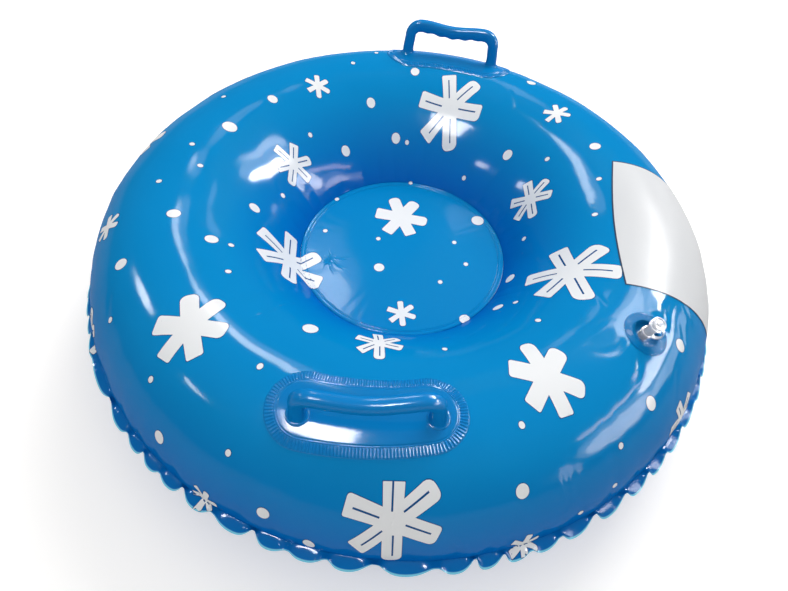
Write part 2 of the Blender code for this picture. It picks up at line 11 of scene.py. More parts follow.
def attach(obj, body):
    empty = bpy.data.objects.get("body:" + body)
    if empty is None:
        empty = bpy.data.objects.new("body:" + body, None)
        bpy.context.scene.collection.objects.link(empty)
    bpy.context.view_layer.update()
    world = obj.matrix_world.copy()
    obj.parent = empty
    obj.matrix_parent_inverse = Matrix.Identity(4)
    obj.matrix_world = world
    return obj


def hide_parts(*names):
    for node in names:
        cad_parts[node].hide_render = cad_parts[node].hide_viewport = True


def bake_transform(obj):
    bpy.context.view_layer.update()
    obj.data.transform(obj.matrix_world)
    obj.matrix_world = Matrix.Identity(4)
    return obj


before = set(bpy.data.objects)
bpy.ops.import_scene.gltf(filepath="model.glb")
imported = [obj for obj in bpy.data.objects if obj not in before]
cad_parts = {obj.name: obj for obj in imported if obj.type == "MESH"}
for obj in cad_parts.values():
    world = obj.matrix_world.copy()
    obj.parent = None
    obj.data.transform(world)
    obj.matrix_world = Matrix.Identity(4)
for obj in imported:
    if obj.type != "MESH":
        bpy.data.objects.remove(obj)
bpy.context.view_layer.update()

MM = 0.001

# Film: the model's own sizes, in metres
BODY_RADIUS = 0.460
RING_RADIUS = 0.160
CROWN_RADIUS = RING_RADIUS + 0.573 * (BODY_RADIUS - RING_RADIUS)
FULLNESS_SHARE = 1.115
REST_FLAT_DEPTH = 0.0005
SEAT_RISE = 0.006
FILM_WALL = 0.0006
GAP = 0.0003
RING_WELD_WIDTH = 0.009
MARGIN_WIDTH = 0.0147
MARGIN_INLAY = 0.004
FLOOR_SHEET_RADIUS = 0.185

# Film surface: columns round the tube, and rows closest together at both welds
FILM_COLUMNS = 760
MARGIN_COLUMNS = 1920
RING_COLUMNS = 360
SECTION_STEPS = 721
FILM_PITCH = 0.0042
WELD_PITCH = 0.0020
WELD_ZONE = 0.045
RIM_TURN_IN = 0.0015

# Puckers and creases
WAVE_COUNT = 64
WAVE_HEIGHT = 0.0092
WAVE_DROOP = 0.0030
WAVE_DRAW_IN = 0.0085
WAVE_SWAY = 0.0028
WAVE_LEAN = 0.6
WAVE_GROWTH = 1.25
PILLOW_LEVEL = 0.62
WELD_FADE = 0.03
SEAM_PUCKER = 0.0022
SEAM_REACH = 0.016
RING_PLEATS = 34
RING_PUCKER = 0.0007
RING_REACH = 0.013
FLOOR_PLEATS = 46
FLOOR_PUCKER = 0.00012
FLOOR_REACH = 0.010
FLOOR_SLACK = 0.0006
FLOOR_SWELL = 0.0004
WELD_LINES = (RING_RADIUS - 0.0022, RING_RADIUS - 0.0072)
WELD_LINE_RISE = 0.0008
WELD_LINE_WIDTH = 0.0008
UNDULATION = 0.00032
RIPPLE = 0.000025
CREASE_DEPTH = 0.0017
CREASE_WIDTH = 0.004
CREASE_SWAY = 0.006
CREASE_SWAY_LENGTH = 0.014
PLATE_CALM = 0.016
VALVE_CALM = 0.012

# Handles
HANDLES = {
    "front": {"azimuth": math.radians(-93.3), "twist": math.radians(6.3), "outset": 0.016,
              "lean": math.radians(4)},
    "rear": {"azimuth": math.radians(82.2), "twist": math.radians(1.5), "outset": 0.034,
             "lean": math.radians(6)},
}
GRIP_SPAN = 0.150
GRIP_TOP_SPAN = 0.146
GRIP_HEIGHT = 0.056
GRIP_BAR_HEIGHT = 0.020
GRIP_LEG_WIDTH = 0.018
GRIP_DEPTH = 0.018
GRIP_CORNER_RADIUS = 0.017
GRIP_BAR_DIP = 0.005
GRIP_BAR_BOW = 0.007
FINGER_WAVE_DEPTH = 0.0020
FINGER_WAVES = 5
WAVE_FADE_POWER = 8
GRIP_SQUARENESS = 2.6
GRIP_COLUMNS = 28
FOOT_FLARE = 0.0016
FOOT_FLARE_HEIGHT = 0.003
FOOT_CLEARANCE = 0.0012
PLATE_THICKNESS = 0.0016
PLATE_HALF_WIDTH = 0.0315
PLATE_END_MARGIN = 0.0235
WELD_BORDER_WIDTH = 0.0125
WELD_BORDER_THICKNESS = 0.0008
RIM_COLUMNS = 48
FOOT_RIM_HEIGHT = 0.0010
FOOT_RADIUS = GRIP_DEPTH / 2
PLATE_RIBS = 150
COLUMNS_PER_RIB = 6
RIB_HEIGHT = 0.0010
RIDGE_HEIGHT = 0.0006

# Valve
VALVE_AZIMUTH = math.radians(-33.6)
VALVE_RADIUS = CROWN_RADIUS + 0.033
FLANGE_RADIUS = 0.0285
FLANGE_THICKNESS = 0.001
CUP_RADIUS = 0.016
CUP_WALL = 0.001
CUP_DEPTH = 0.007
CUP_RIM_HEIGHT = 0.0012
FILM_HOLE_RADIUS = CUP_RADIUS + CUP_WALL + 0.001
NECK_RADIUS = 0.0062
NECK_BORE_RADIUS = 0.0042
NECK_HEIGHT = 0.019
NECK_INNER_LENGTH = 0.008
NECK_COLLAR_RADIUS = 0.008
NECK_COLLAR_HEIGHT = 0.003
NECK_PRESS_TRAVEL = 0.008
NECK_STOP_RADIUS = 0.008
NECK_STOP_THICKNESS = 0.0015
NECK_LIP_RADIUS = 0.0075
NECK_LIP_HEIGHT = 0.0025
STOPPER_RADIUS = 0.009
STOPPER_HEAD_HEIGHT = 0.008
STOPPER_GROOVE_DEPTH = 0.0012
STOPPER_PLUG_LENGTH = 0.010
STRAP_WIDTH = 0.005
STRAP_THICKNESS = 0.0012
STRAP_REACH = 0.0055
STRAP_COLUMNS = 16
FLAP_THICKNESS = 0.0008
FLAP_OVERLAP = 0.0012
VALVE_COLUMNS = 72
CORNER_SHARE = 0.42

# Print: heights over the film in metres, then sizes in millimetres of the flat sheet, whose x
# runs to the rider's right and whose y runs to the rear
FILM_LIFT = {"outline": 0.00012, "print": 0.00026, "panel": 0.0005}
OUTLINE_WIDTH = 0.9
PRINT_STEP = 4.0
PRINT_CLEARANCE = 8
PRINT_END = MARGIN_WIDTH - 0.0008

# Finishes and studio: the film's painted shade darkens it from a share of its half height over the seam down
# to the seam, the margin's painted edge highlight lies between shares of the margin's width, and the panel's
# border ends between distances from its edge. The camera's turn is in degrees, its lens in millimetres
COAT_IOR = 1.8
# Share of the half height over the seam below which the film's colour is painted darker, as painted shade of
# the lower wall
PAINTED_SHADE_SHARE = 0.85
# Shares of the margin's width between which the painted highlight of the cut edge starts
EDGE_HIGHLIGHT_SHARES = (0.83, 0.90)
PANEL_BORDER = (0.0018, 0.0024)
CAMERA_PLACE = (0.000258, -0.633510, 0.847301)
CAMERA_TURN = (37.332, -2.958, 4.584)
CAMERA_LENS = 27.411
ROOM_LEVEL = 0.27
FLOOR_GLOW = 0.33
STAGE_REACH = 20.0
LAMP_DISTANCE = 3.6

# Sizes that follow
BULGE = BODY_RADIUS ** 2 - CROWN_RADIUS ** 2
RING_SLOPE = math.asin((RING_RADIUS ** 2 - CROWN_RADIUS ** 2) / BULGE)
PLATE_REACH = PLATE_HALF_WIDTH + WELD_BORDER_WIDTH
PLATE_RUN = GRIP_SPAN / 2 + PLATE_END_MARGIN - PLATE_HALF_WIDTH


def drop_table():
    """Film angles and the drop below the crown at each: the running sum of bulge sin(a) / 2r."""
    slopes = np.linspace(RING_SLOPE, math.pi / 2, SECTION_STEPS)
    radii = np.sqrt(CROWN_RADIUS ** 2 + BULGE * np.sin(slopes))
    rates = FULLNESS_SHARE * BULGE * np.sin(slopes) / (2 * radii)
    sums = np.concatenate([[0], np.cumsum((rates[1:] + rates[:-1]) / 2 * np.diff(slopes))])
    return slopes, sums - np.interp(0, slopes, sums)


SLOPES, DROPS = drop_table()
HALF_HEIGHT = float(DROPS[-1])
SEAM_HEIGHT = HALF_HEIGHT - REST_FLAT_DEPTH
SEAT_HEIGHT = SEAM_HEIGHT + SEAT_RISE
RING_DROPS = {1: HALF_HEIGHT - SEAT_RISE, -1: HALF_HEIGHT + SEAT_RISE}
FLOOR_TOP = SEAT_HEIGHT + GAP / 2 + FILM_WALL


def film_face(slopes, side):
    """Radius, height off the seam plane and normal of the outer face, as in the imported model."""
    stretch = np.where(slopes < 0, RING_DROPS[side] / DROPS[0], 1)
    radii = np.sqrt(CROWN_RADIUS ** 2 + BULGE * np.sin(slopes))
    heights = HALF_HEIGHT - stretch * np.interp(slopes, SLOPES, DROPS)
    tilts = np.arctan2(FULLNESS_SHARE * stretch * np.sin(slopes), np.cos(slopes))
    return radii, heights, np.sin(tilts), np.cos(tilts)


def arc_table(side):
    """Length along the film from the ring weld to each film angle."""
    radii, heights, _, _ = film_face(SLOPES, side)
    return np.concatenate([[0], np.cumsum(np.hypot(np.diff(radii), np.diff(heights)))])


ARCS = {side: arc_table(side) for side in (1, -1)}
SEAM_SHEET_RADIUS = FLOOR_SHEET_RADIUS + float(ARCS[1][-1])


def ease(low, high, value):
    """0 under low and 1 over high, with an even S between them."""
    share = np.clip((value - low) / (high - low), 0, 1)
    return share * share * (3 - 2 * share)


def wander(azimuth, seed, low, high):
    """Closed random curve round the tube: cosines of orders low to high with seeded phases."""
    draws = np.random.default_rng(seed)
    orders = np.arange(low, high + 1)
    phases = draws.uniform(0, 2 * math.pi, len(orders))
    sizes = draws.uniform(0.5, 1, len(orders))
    total = np.zeros_like(azimuth, dtype=float)
    for order, phase, size in zip(orders, phases, sizes):
        total += size * np.cos(order * azimuth + phase)
    return total / math.sqrt((sizes ** 2).sum() / 2)


def uneven(azimuth, seed, low, high, spread, least, most, middle=1.0):
    """Size that wanders about a middle round the tube, held between two limits."""
    return np.clip(middle + spread * wander(azimuth, seed, low, high), least, most)


def ruffle_phase(azimuth):
    """Phase of the margin's wave: even waves, crowded and spread by a slow wander."""
    return WAVE_COUNT * azimuth + 1.5 * wander(azimuth, 3, 3, 13)


def ruffle_size(azimuth):
    """Size of the margin's wave, which changes from wave to wave."""
    return uneven(azimuth, 5, 5, 34, 0.26, 0.50, 1.2, 0.86)


def rolling(x, y, seed, shortest, longest, count=14):
    """Low swell over the sheet: sines of random directions and wavelengths, of unit size."""
    draws = np.random.default_rng(seed)
    total = np.zeros_like(x, dtype=float)
    for _ in range(count):
        turn, phase = draws.uniform(0, 2 * math.pi, 2)
        wave = 2 * math.pi / draws.uniform(shortest, longest)
        total += np.sin(wave * (x * math.cos(turn) + y * math.sin(turn)) + phase)
    return total / math.sqrt(count / 2)


def pillows(phase):
    """Round pillows between sharp valleys, about level as a whole."""
    return np.abs(np.cos(phase)) - PILLOW_LEVEL


def beside(share):
    """0 at a weld, 1 at a share of 1 away from it, and fading out beyond."""
    return share * np.exp(1 - share)


def dent(across, width, spread, edge):
    """Dent of unit depth, less a share of one that is spread wider."""
    return np.exp(-(across / width) ** 2) - edge * np.exp(-(across / (spread * width)) ** 2)


def aligned(x, y, middle, degrees):
    """Distances from a middle, along a direction and across it."""
    turn = math.radians(degrees)
    x, y = x - middle[0], y - middle[1]
    return x * math.cos(turn) + y * math.sin(turn), y * math.cos(turn) - x * math.sin(turn)


def even_turns(count):
    """Even directions round a circle."""
    return np.arange(count) * 2 * math.pi / count


def polar(radius, azimuth, height):
    """Points from radii, directions and heights."""
    radius, azimuth, height = np.broadcast_arrays(radius, azimuth, height)
    return np.stack([radius * np.cos(azimuth), radius * np.sin(azimuth), height], -1)


# Creases, listed one by one: place on the sheet in millimetres, direction in degrees, length in
# millimetres, and share of the full depth
CREASES = (
    (-196, -262, 52, 60, 0.8), (-228, -236, 40, 36, 0.5), (-330, -300, 70, 70, 0.5),
    (-250, 55, 100, 40, 0.5), (-190, 20, 60, 46, 0.5), (-430, -260, 75, 60, 0.7),
    (330, -268, 35, 70, 0.8), (350, -290, 60, 60, 0.8), (300, -250, 20, 50, 0.6),
    (420, -300, 75, 60, 0.6), (318, -190, 80, 50, 0.5), (196, 322, 88, 34, 0.7),
    (-500, -180, 80, 60, 0.6), (250, -470, 100, 60, 0.5), (-60, -470, 60, 50, 0.4),
    (100, 470, 80, 60, 0.6), (-250, 420, 120, 70, 0.6), (450, 250, 30, 60, 0.6),
    (405, -205, 60, 60, 0.8), (432, -226, 78, 50, 0.7), (382, -196, 40, 46, 0.6), (446, -184, 95, 40, 0.6),
)


def creases(x, y):
    """Sum of dents, each narrow across and long along its direction."""
    total = np.zeros_like(x, dtype=float)
    for middle_x, middle_y, turn, length, depth in CREASES:
        along, across = aligned(x, y, (middle_x * MM, middle_y * MM), turn)
        bend = across - CREASE_SWAY * np.sin(along / CREASE_SWAY_LENGTH)
        fade = np.exp(-(along / (length * MM / 2)) ** 2)
        total -= CREASE_DEPTH * depth * dent(bend, CREASE_WIDTH, 2.5, 0.45) * fade
    return total


def handle_line(side):
    """Azimuth and radius of the middle of a handle's plate, and cosine and sine of its twist."""
    handle = HANDLES[side]
    twist = handle["twist"]
    return handle["azimuth"], CROWN_RADIUS + handle["outset"], math.cos(twist), math.sin(twist)


def turn_from(azimuth, start):
    """Angle from a start to an azimuth, the short way round."""
    return (azimuth - start + math.pi) % (2 * math.pi) - math.pi


def plate_offset(side, azimuth, radius):
    """Distance of a point from the middle line of a handle's plate."""
    start, middle, cosine, sine = handle_line(side)
    along, inwards = turn_from(azimuth, start) * middle, middle - radius
    u, v = along * cosine + inwards * sine, inwards * cosine - along * sine
    return np.hypot(np.maximum(np.abs(u) - PLATE_RUN, 0), v)


def valve_offset(azimuth, radius):
    """Distance of a point from the valve's axis, along the film."""
    return np.hypot(turn_from(azimuth, VALVE_AZIMUTH) * VALVE_RADIUS, radius - VALVE_RADIUS)


def calm(azimuth, radius):
    """0 where a plate or the valve is welded flat to the upper film, 1 away from them."""
    still = ease(FLANGE_RADIUS, FLANGE_RADIUS + VALVE_CALM, valve_offset(azimuth, radius))
    for side in HANDLES:
        still = still * ease(PLATE_REACH, PLATE_REACH + PLATE_CALM, plate_offset(side, azimuth, radius))
    return still


def relief(azimuth, arc, radius, side):
    """Rise of the film over its smooth face.

    Pillows between sharp valleys run in from the outer seam in step with the ruffle, shorter
    pleats run up from the ring weld, and a low swell, a fine ripple and a few creases lie
    between them.
    """
    rho = FLOOR_SHEET_RADIUS + arc
    x, y = rho * np.cos(azimuth), rho * np.sin(azimuth)
    seam = np.maximum(ARCS[side][-1] - arc, 0)
    shift = 0 if side > 0 else math.pi
    seam_part = SEAM_PUCKER * pillows((ruffle_phase(azimuth) + shift) / 2)
    seam_reach = SEAM_REACH * uneven(azimuth, 11, 8, 44, 0.45, 0.45, 2.2)
    seam_part = seam_part * ruffle_size(azimuth) * beside(seam / seam_reach)
    ring_part = RING_PUCKER * pillows(RING_PLEATS / 2 * azimuth + 1.2 * wander(azimuth, 17, 2, 11))
    ring_reach = RING_REACH * uneven(azimuth, 19, 4, 26, 0.4, 0.5, 2)
    ring_part = ring_part * beside(arc / ring_reach)
    middle = ease(0, WELD_FADE, arc) * ease(0, WELD_FADE, seam)
    swell = UNDULATION * rolling(x, y, 23 + side, 0.07, 0.24) + RIPPLE * rolling(x, y, 51 + side, 0.03, 0.07)
    total = seam_part + ring_part + middle * (swell + creases(x, y))
    return total * calm(azimuth, radius) if side > 0 else total


def film_at(azimuth, arc, side, lift=0.0):
    """Point at a lift over the film, from its azimuth and its length from the ring weld."""
    azimuth, arc = np.broadcast_arrays(np.asarray(azimuth, float), np.asarray(arc, float))
    radius, height, normal_r, normal_z = film_face(np.interp(arc, ARCS[side], SLOPES), side)
    rise = lift + relief(azimuth, arc, radius, side)
    level = SEAM_HEIGHT + side * (height + rise * normal_z)
    return polar(radius + rise * normal_r, azimuth, np.maximum(level, 0) if side < 0 else level)


def arc_of_radius(radius):
    """Length from the ring weld to each radius of the upper film."""
    sine = (np.asarray(radius, float) ** 2 - CROWN_RADIUS ** 2) / BULGE
    slope = np.clip(np.arcsin(np.clip(sine, -1, 1)), RING_SLOPE, math.pi / 2)
    return np.interp(slope, SLOPES, ARCS[1])


def margin_at(azimuth, reach, face, lift=0.0):
    """Point on the welded margin, which hangs a little.

    Its wave grows outwards: wide lobes hang down, and narrow folds between them rise, draw in
    and sway a little along the rim.
    """
    phase, size = ruffle_phase(azimuth), ruffle_size(azimuth)
    grow = np.clip(reach / MARGIN_WIDTH, 0, 1) ** WAVE_GROWTH
    fold = 0.9 * np.cos(phase) + 0.12 * np.cos(2 * phase)
    drop = (WAVE_HEIGHT * size * fold - WAVE_DROOP) * grow
    sway = -WAVE_SWAY * size * np.sin(phase - WAVE_LEAN) * grow
    radius = BODY_RADIUS + reach - WAVE_DRAW_IN * size * grow * np.clip(0.5 + 0.55 * fold, 0, 1)
    return polar(radius, azimuth + sway / BODY_RADIUS, SEAM_HEIGHT + drop + face * (FILM_WALL + lift))


# Pucker star on the seat floor: its middle in metres, then each fold's direction in degrees and
# length in millimetres
STAR = (-0.111, -0.035)
STAR_FOLDS = ((14, 24), (52, 13), (97, 19), (133, 11), (172, 17), (207, 10), (240, 15), (287, 22), (330, 28))
STAR_DEPTH = 0.0010
STAR_FOLD_WIDTH = 0.0010
STAR_FOLD_SWAY = 0.0012
STAR_ZONE = 0.022
STAR_LINES = 110
FLOOR_COLUMNS = 240
FLOOR_ROWS = 62


def floor_rise(x, y, side):
    """Rise of a floor layer: a slack middle, pleats in from the ring weld, and a pucker star."""
    radius, azimuth = np.hypot(x, y), np.arctan2(y, x)
    edge = np.maximum(RING_RADIUS - RING_WELD_WIDTH - radius, 0)
    total = FLOOR_PUCKER * pillows(FLOOR_PLEATS / 2 * azimuth + 1.4 * wander(azimuth, 31, 2, 9))
    total = total * beside(edge / (FLOOR_REACH * uneven(azimuth, 37, 3, 19, 0.4, 0.5, 2)))
    total = total + (FLOOR_SLACK + FLOOR_SWELL * rolling(x, y, 41, 0.11, 0.30)) * ease(0, 0.06, edge)
    for turn, length in STAR_FOLDS if side > 0 else ():
        along, across = aligned(x, y, STAR, turn)
        share = along / (length * MM)
        fold = dent(across - STAR_FOLD_SWAY * np.sin(7 * share), STAR_FOLD_WIDTH, 3, 0.4)
        fade = ease(-0.02, 0.1, share) * np.exp(-1.6 * np.maximum(share, 0) ** 2)
        total = total - STAR_DEPTH * fold * fade * ease(0, 0.008, edge)
    return np.maximum(total, -FILM_WALL * 0.8)


def crowded(low, high, count, middle, zone, extra):
    """Even values from low to high, with more of them about a middle."""
    more = np.linspace(middle - zone, middle + zone, extra)
    return np.unique(np.concatenate([np.linspace(low, high, count), more[(more > low) & (more < high)]]))


def weld_rise(radius):
    """Double line pressed up along the ring weld."""
    return sum(WELD_LINE_RISE * np.exp(-((radius - line) / WELD_LINE_WIDTH) ** 2) for line in WELD_LINES)


def floor_at(x, y, lift):
    """Point over the upper floor layer or the ring weld."""
    radius = np.hypot(x, y)
    on_weld = radius > RING_RADIUS - RING_WELD_WIDTH - GAP / 2
    rise = np.where(on_weld, weld_rise(radius), floor_rise(x, y, 1))
    return np.stack([x, y, FLOOR_TOP + rise + lift], -1)


def on_sheet(points, lift):
    """Where points of the flat printed sheet, in millimetres, come to lie on the tube."""
    x, y = (points * MM).T
    rho, azimuth = np.hypot(x, y), np.arctan2(y, x)
    wall = film_at(azimuth, np.clip(rho - FLOOR_SHEET_RADIUS, 0, ARCS[1][-1]), 1, lift)
    shrink = RING_RADIUS / FLOOR_SHEET_RADIUS
    floor = floor_at(x * shrink, y * shrink, lift)
    hem = margin_at(azimuth, np.clip(rho - SEAM_SHEET_RADIUS, 0, MARGIN_WIDTH), 1, lift)
    on_hem = (rho > SEAM_SHEET_RADIUS)[:, None]
    return np.where((rho < FLOOR_SHEET_RADIUS)[:, None], floor, np.where(on_hem, hem, wall))


def quads(points, wrap=True):
    """Corner numbers of the faces of a grid of points, closed across its columns unless told not to."""
    rows, columns = points.shape[:2]
    row = np.arange(rows - 1)[:, None] * columns
    first = np.arange(columns if wrap else columns - 1)[None]
    second = (first + 1) % columns
    return np.stack([row + first, row + second, row + columns + second, row + columns + first],
                    -1).reshape(-1, 4)


def used_only(points, faces):
    """Points that a face uses, with the faces numbered anew."""
    used, numbers = np.unique(faces, return_inverse=True)
    return points[used], numbers.reshape(faces.shape)


def piece(name, points, finish, body="root", node=None, faces=None, closed=True, uv=None):
    """Object from a grid of points, or from points with their faces.

    A closed one has its doubles merged and its faces turned outwards.
    """
    faces = quads(points) if faces is None else faces
    mesh = bpy.data.meshes.new(name)
    mesh.from_pydata(points.reshape(-1, 3).tolist(), [], faces.tolist())
    if uv is not None:
        layer = mesh.uv_layers.new(name="sheet")
        corners = np.zeros(len(mesh.loops), np.int32)
        mesh.loops.foreach_get("vertex_index", corners)
        layer.data.foreach_set("uv", np.asarray(uv, np.float32).reshape(-1, 2)[corners].ravel())
    if closed:
        shape = bmesh.new()
        shape.from_mesh(mesh)
        bmesh.ops.remove_doubles(shape, verts=shape.verts, dist=1e-6)
        bmesh.ops.recalc_face_normals(shape, faces=shape.faces)
        shape.to_mesh(mesh)
        shape.free()
    mesh.shade_smooth()
    if closed:
        mesh.set_sharp_from_angle(angle=math.radians(50))
    mesh.materials.append(finish)
    item = bpy.data.objects.new(name, mesh)
    bpy.context.scene.collection.objects.link(item)
    if body:
        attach(item, body)
    if node:
        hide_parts(node)
    return item


def set_inputs(node, values):
    """Sets a node's sockets, each by its name."""
    for socket, value in values.items():
        node.inputs[socket].default_value = value


def ramp(tree, source, start, end, low=0.0, high=1.0):
    """Socket of a value mapped evenly from start..end to low..high, and held beyond both."""
    drift = tree.nodes.new("ShaderNodeMapRange")
    set_inputs(drift, {"From Min": start, "From Max": end, "To Min": low, "To Max": high})
    tree.links.new(source, drift.inputs["Value"])
    return drift.outputs["Result"]


def joined(tree, operation, first, second):
    """Socket of two values joined by an operation. Each is a number or a socket."""
    step = tree.nodes.new("ShaderNodeMath")
    step.operation = operation
    for slot, value in enumerate((first, second)):
        if isinstance(value, float):
            step.inputs[slot].default_value = value
        else:
            tree.links.new(value, step.inputs[slot])
    return step.outputs[0]


def axis_of(tree, axis, own_map=False):
    """Socket of one axis of the Object coordinates, or of the piece's own map."""
    where = tree.nodes.new("ShaderNodeUVMap" if own_map else "ShaderNodeTexCoord")
    if own_map:
        where.uv_map = "sheet"
    split = tree.nodes.new("ShaderNodeSeparateXYZ")
    tree.links.new(where.outputs["UV" if own_map else "Object"], split.inputs["Vector"])
    return split.outputs[axis]


def colour_between(tree, factor, first, second):
    """Links the shader's colour to one that runs from first to second. Each is a colour or a socket."""
    mix = tree.nodes.new("ShaderNodeMix")
    mix.data_type = "RGBA"
    tree.links.new(factor, mix.inputs["Factor"])
    for socket, colour in (("A", first), ("B", second)):
        if isinstance(colour, tuple):
            mix.inputs[socket].default_value = (*colour, 1)
        else:
            tree.links.new(colour, mix.inputs[socket])
    tree.links.new(mix.outputs["Result"], tree.nodes["Principled BSDF"].inputs["Base Color"])


def colour_source(tree):
    """Socket that the shader's colour comes from."""
    return tree.nodes["Principled BSDF"].inputs["Base Color"].links[0].from_socket


def film_grain():
    """Node group: cloudy tint and fine wrinkle height of thin plastic film."""
    group = bpy.data.node_groups.new("film_grain", "ShaderNodeTree")
    for name, way in (("Scale", "INPUT"), ("Cloud", "OUTPUT"), ("Height", "OUTPUT")):
        group.interface.new_socket(name, in_out=way, socket_type="NodeSocketFloat")
    nodes, links = group.nodes, group.links
    start, end = nodes.new("NodeGroupInput"), nodes.new("NodeGroupOutput")
    where = nodes.new("ShaderNodeTexCoord")
    cloud, fine = nodes.new("ShaderNodeTexNoise"), nodes.new("ShaderNodeTexNoise")
    set_inputs(cloud, {"Scale": 7, "Detail": 3})
    set_inputs(fine, {"Detail": 3, "Roughness": 0.45, "Distortion": 0.6})
    links.new(where.outputs["Object"], cloud.inputs["Vector"])
    links.new(where.outputs["Object"], fine.inputs["Vector"])
    links.new(start.outputs["Scale"], fine.inputs["Scale"])
    links.new(cloud.outputs["Fac"], end.inputs["Cloud"])
    links.new(fine.outputs["Fac"], end.inputs["Height"])
    return group


GRAIN = film_grain()


def plastic(name, light, dark, roughness, scale, bump, gloss):
    """Plastic whose colour drifts between two close shades, all its gloss in a thin wrinkled coat."""
    finish = bpy.data.materials.new(name)
    finish.use_nodes = True
    tree = finish.node_tree
    shader = tree.nodes["Principled BSDF"]
    set_inputs(shader, {"Metallic": 0, "Specular IOR Level": 0, "Coat Roughness": roughness,
                        "Coat IOR": COAT_IOR})
    grain = tree.nodes.new("ShaderNodeGroup")
    grain.node_tree = GRAIN
    grain.inputs["Scale"].default_value = scale
    cloud = grain.outputs["Cloud"]
    colour_between(tree, cloud, dark, light)
    for socket, low, high in (("Roughness", roughness * 2, roughness * 3),
                              ("Coat Weight", gloss * 0.85, gloss * 1.15)):
        tree.links.new(ramp(tree, cloud, 0.3, 0.7, low, high), shader.inputs[socket])
    dents = tree.nodes.new("ShaderNodeBump")
    set_inputs(dents, {"Strength": 1, "Distance": bump})
    tree.links.new(grain.outputs["Height"], dents.inputs["Height"])
    tree.links.new(dents.outputs["Normal"], shader.inputs["Normal"])
    return finish


def clear_plastic(name, colour, roughness, see_through, gloss):
    """Clear moulding, as a pale plastic that lets about half of the light straight through."""
    finish = plastic(name, colour, tuple(0.94 * c for c in colour), roughness, 180, 0.00006, gloss)
    finish.node_tree.nodes["Principled BSDF"].inputs["Alpha"].default_value = see_through
    return finish


def film_finish():
    """Printed film with painted shade: its colour falls to a deeper, darker one from the crown down to the
    seam.
    """
    finish = plastic("printed_film", (0.0013, 0.242, 0.562), (0.0009, 0.222, 0.528), 0.09, 26, 0.0004, 0.12)
    tree = finish.node_tree
    base = colour_source(tree)
    # Painted shade: the film's colour is darkened towards the seam, where the lower wall gets less light
    level = ramp(tree, axis_of(tree, "Z"), SEAM_HEIGHT, SEAM_HEIGHT + PAINTED_SHADE_SHARE * HALF_HEIGHT)
    colour_between(tree, level, (0.0005, 0.134, 0.500), base)
    return finish


def hem_finish():
    """Margin's finish, with a painted highlight along the cut edge: a pale line drawn by the margin's own
    map.
    """
    finish = plastic("welded_margin", (0.0009, 0.168, 0.50), (0.0007, 0.140, 0.45), 0.14, 40, 0.0003, 0.14)
    tree = finish.node_tree
    base = colour_source(tree)
    # Painted highlight: a pale line along the cut edge stands in for the light the edge catches
    edge = ramp(tree, axis_of(tree, "Y", True), *EDGE_HIGHLIGHT_SHARES, 0, 0.9)
    colour_between(tree, edge, base, (0.24, 0.72, 0.90))
    return finish


# White panel: its left edge's two ends on the sheet, and its width, in millimetres
PANEL_TOP = (376, 139)
PANEL_LOW = (357, -162)
PANEL_WIDTH = 172
PANEL_EDGE_TURN = -6.0


def panel_finish():
    """White ink with a thin dark border along the panel's edge, drawn by the panel's own map."""
    finish = plastic("panel_ink", (0.68, 0.69, 0.70), (0.65, 0.66, 0.68), 0.30, 26, 0.0004, 0.08)
    tree = finish.node_tree
    base = colour_source(tree)
    length = math.hypot(PANEL_TOP[0] - PANEL_LOW[0], PANEL_TOP[1] - PANEL_LOW[1])
    nearest = None
    for axis, size in (("X", PANEL_WIDTH), ("Y", length)):
        from_start = axis_of(tree, axis, True)
        for away in (from_start, joined(tree, "SUBTRACT", size * MM, from_start)):
            nearest = joined(tree, "MINIMUM", nearest, away) if nearest else away
    colour_between(tree, ramp(tree, nearest, *PANEL_BORDER, 1, 0), base, (0.02, 0.05, 0.10))
    return finish


FLOOR_FILM = plastic("floor_film", (0.0013, 0.232, 0.548), (0.0009, 0.215, 0.520), 0.10, 26, 0.0004, 0.09)
FILM = film_finish()
INK = plastic("white_ink", (0.83, 0.84, 0.85), (0.80, 0.815, 0.83), 0.20, 26, 0.0004, 0.10)
KEY = plastic("outline_ink", (0.006, 0.085, 0.27), (0.005, 0.070, 0.23), 0.20, 26, 0.0004, 0.10)
PLATE = plastic("plate_sheet", (0.0027, 0.215, 0.55), (0.0022, 0.196, 0.51), 0.10, 30, 0.0004, 0.18)
GRIP = plastic("grip_moulding", (0.0022, 0.222, 0.58), (0.0012, 0.200, 0.54), 0.18, 70, 0.0002, 0.18)
CLEAR = clear_plastic("clear_moulding", (0.97, 0.96, 0.96), 0.05, 0.45, 1.0)
DISC = clear_plastic("clear_weld_disc", (0.003, 0.26, 0.64), 0.08, 0.42, 0.06)
HEM = hem_finish()
PANEL = panel_finish()


def film_rows(side):
    """Lengths from the ring weld, closest together at both welds."""
    end = float(ARCS[side][-1])
    middle = round((end - 2 * WELD_ZONE) / FILM_PITCH)
    edge = round(WELD_ZONE / WELD_PITCH)
    return np.concatenate([np.linspace(0, WELD_ZONE, edge + 1)[:-1],
                           np.linspace(WELD_ZONE, end - WELD_ZONE, middle + 1),
                           np.linspace(end - WELD_ZONE, end, edge + 1)[1:]])


def frame_of(origin, x_axis, z_axis):
    """Matrix from an origin, an x axis and a z axis at right angles to it."""
    x_axis = x_axis.normalized()
    y_axis = z_axis.cross(x_axis).normalized()
    turn = Matrix((x_axis, y_axis, x_axis.cross(y_axis))).transposed()
    return Matrix.Translation(origin) @ turn.to_4x4()


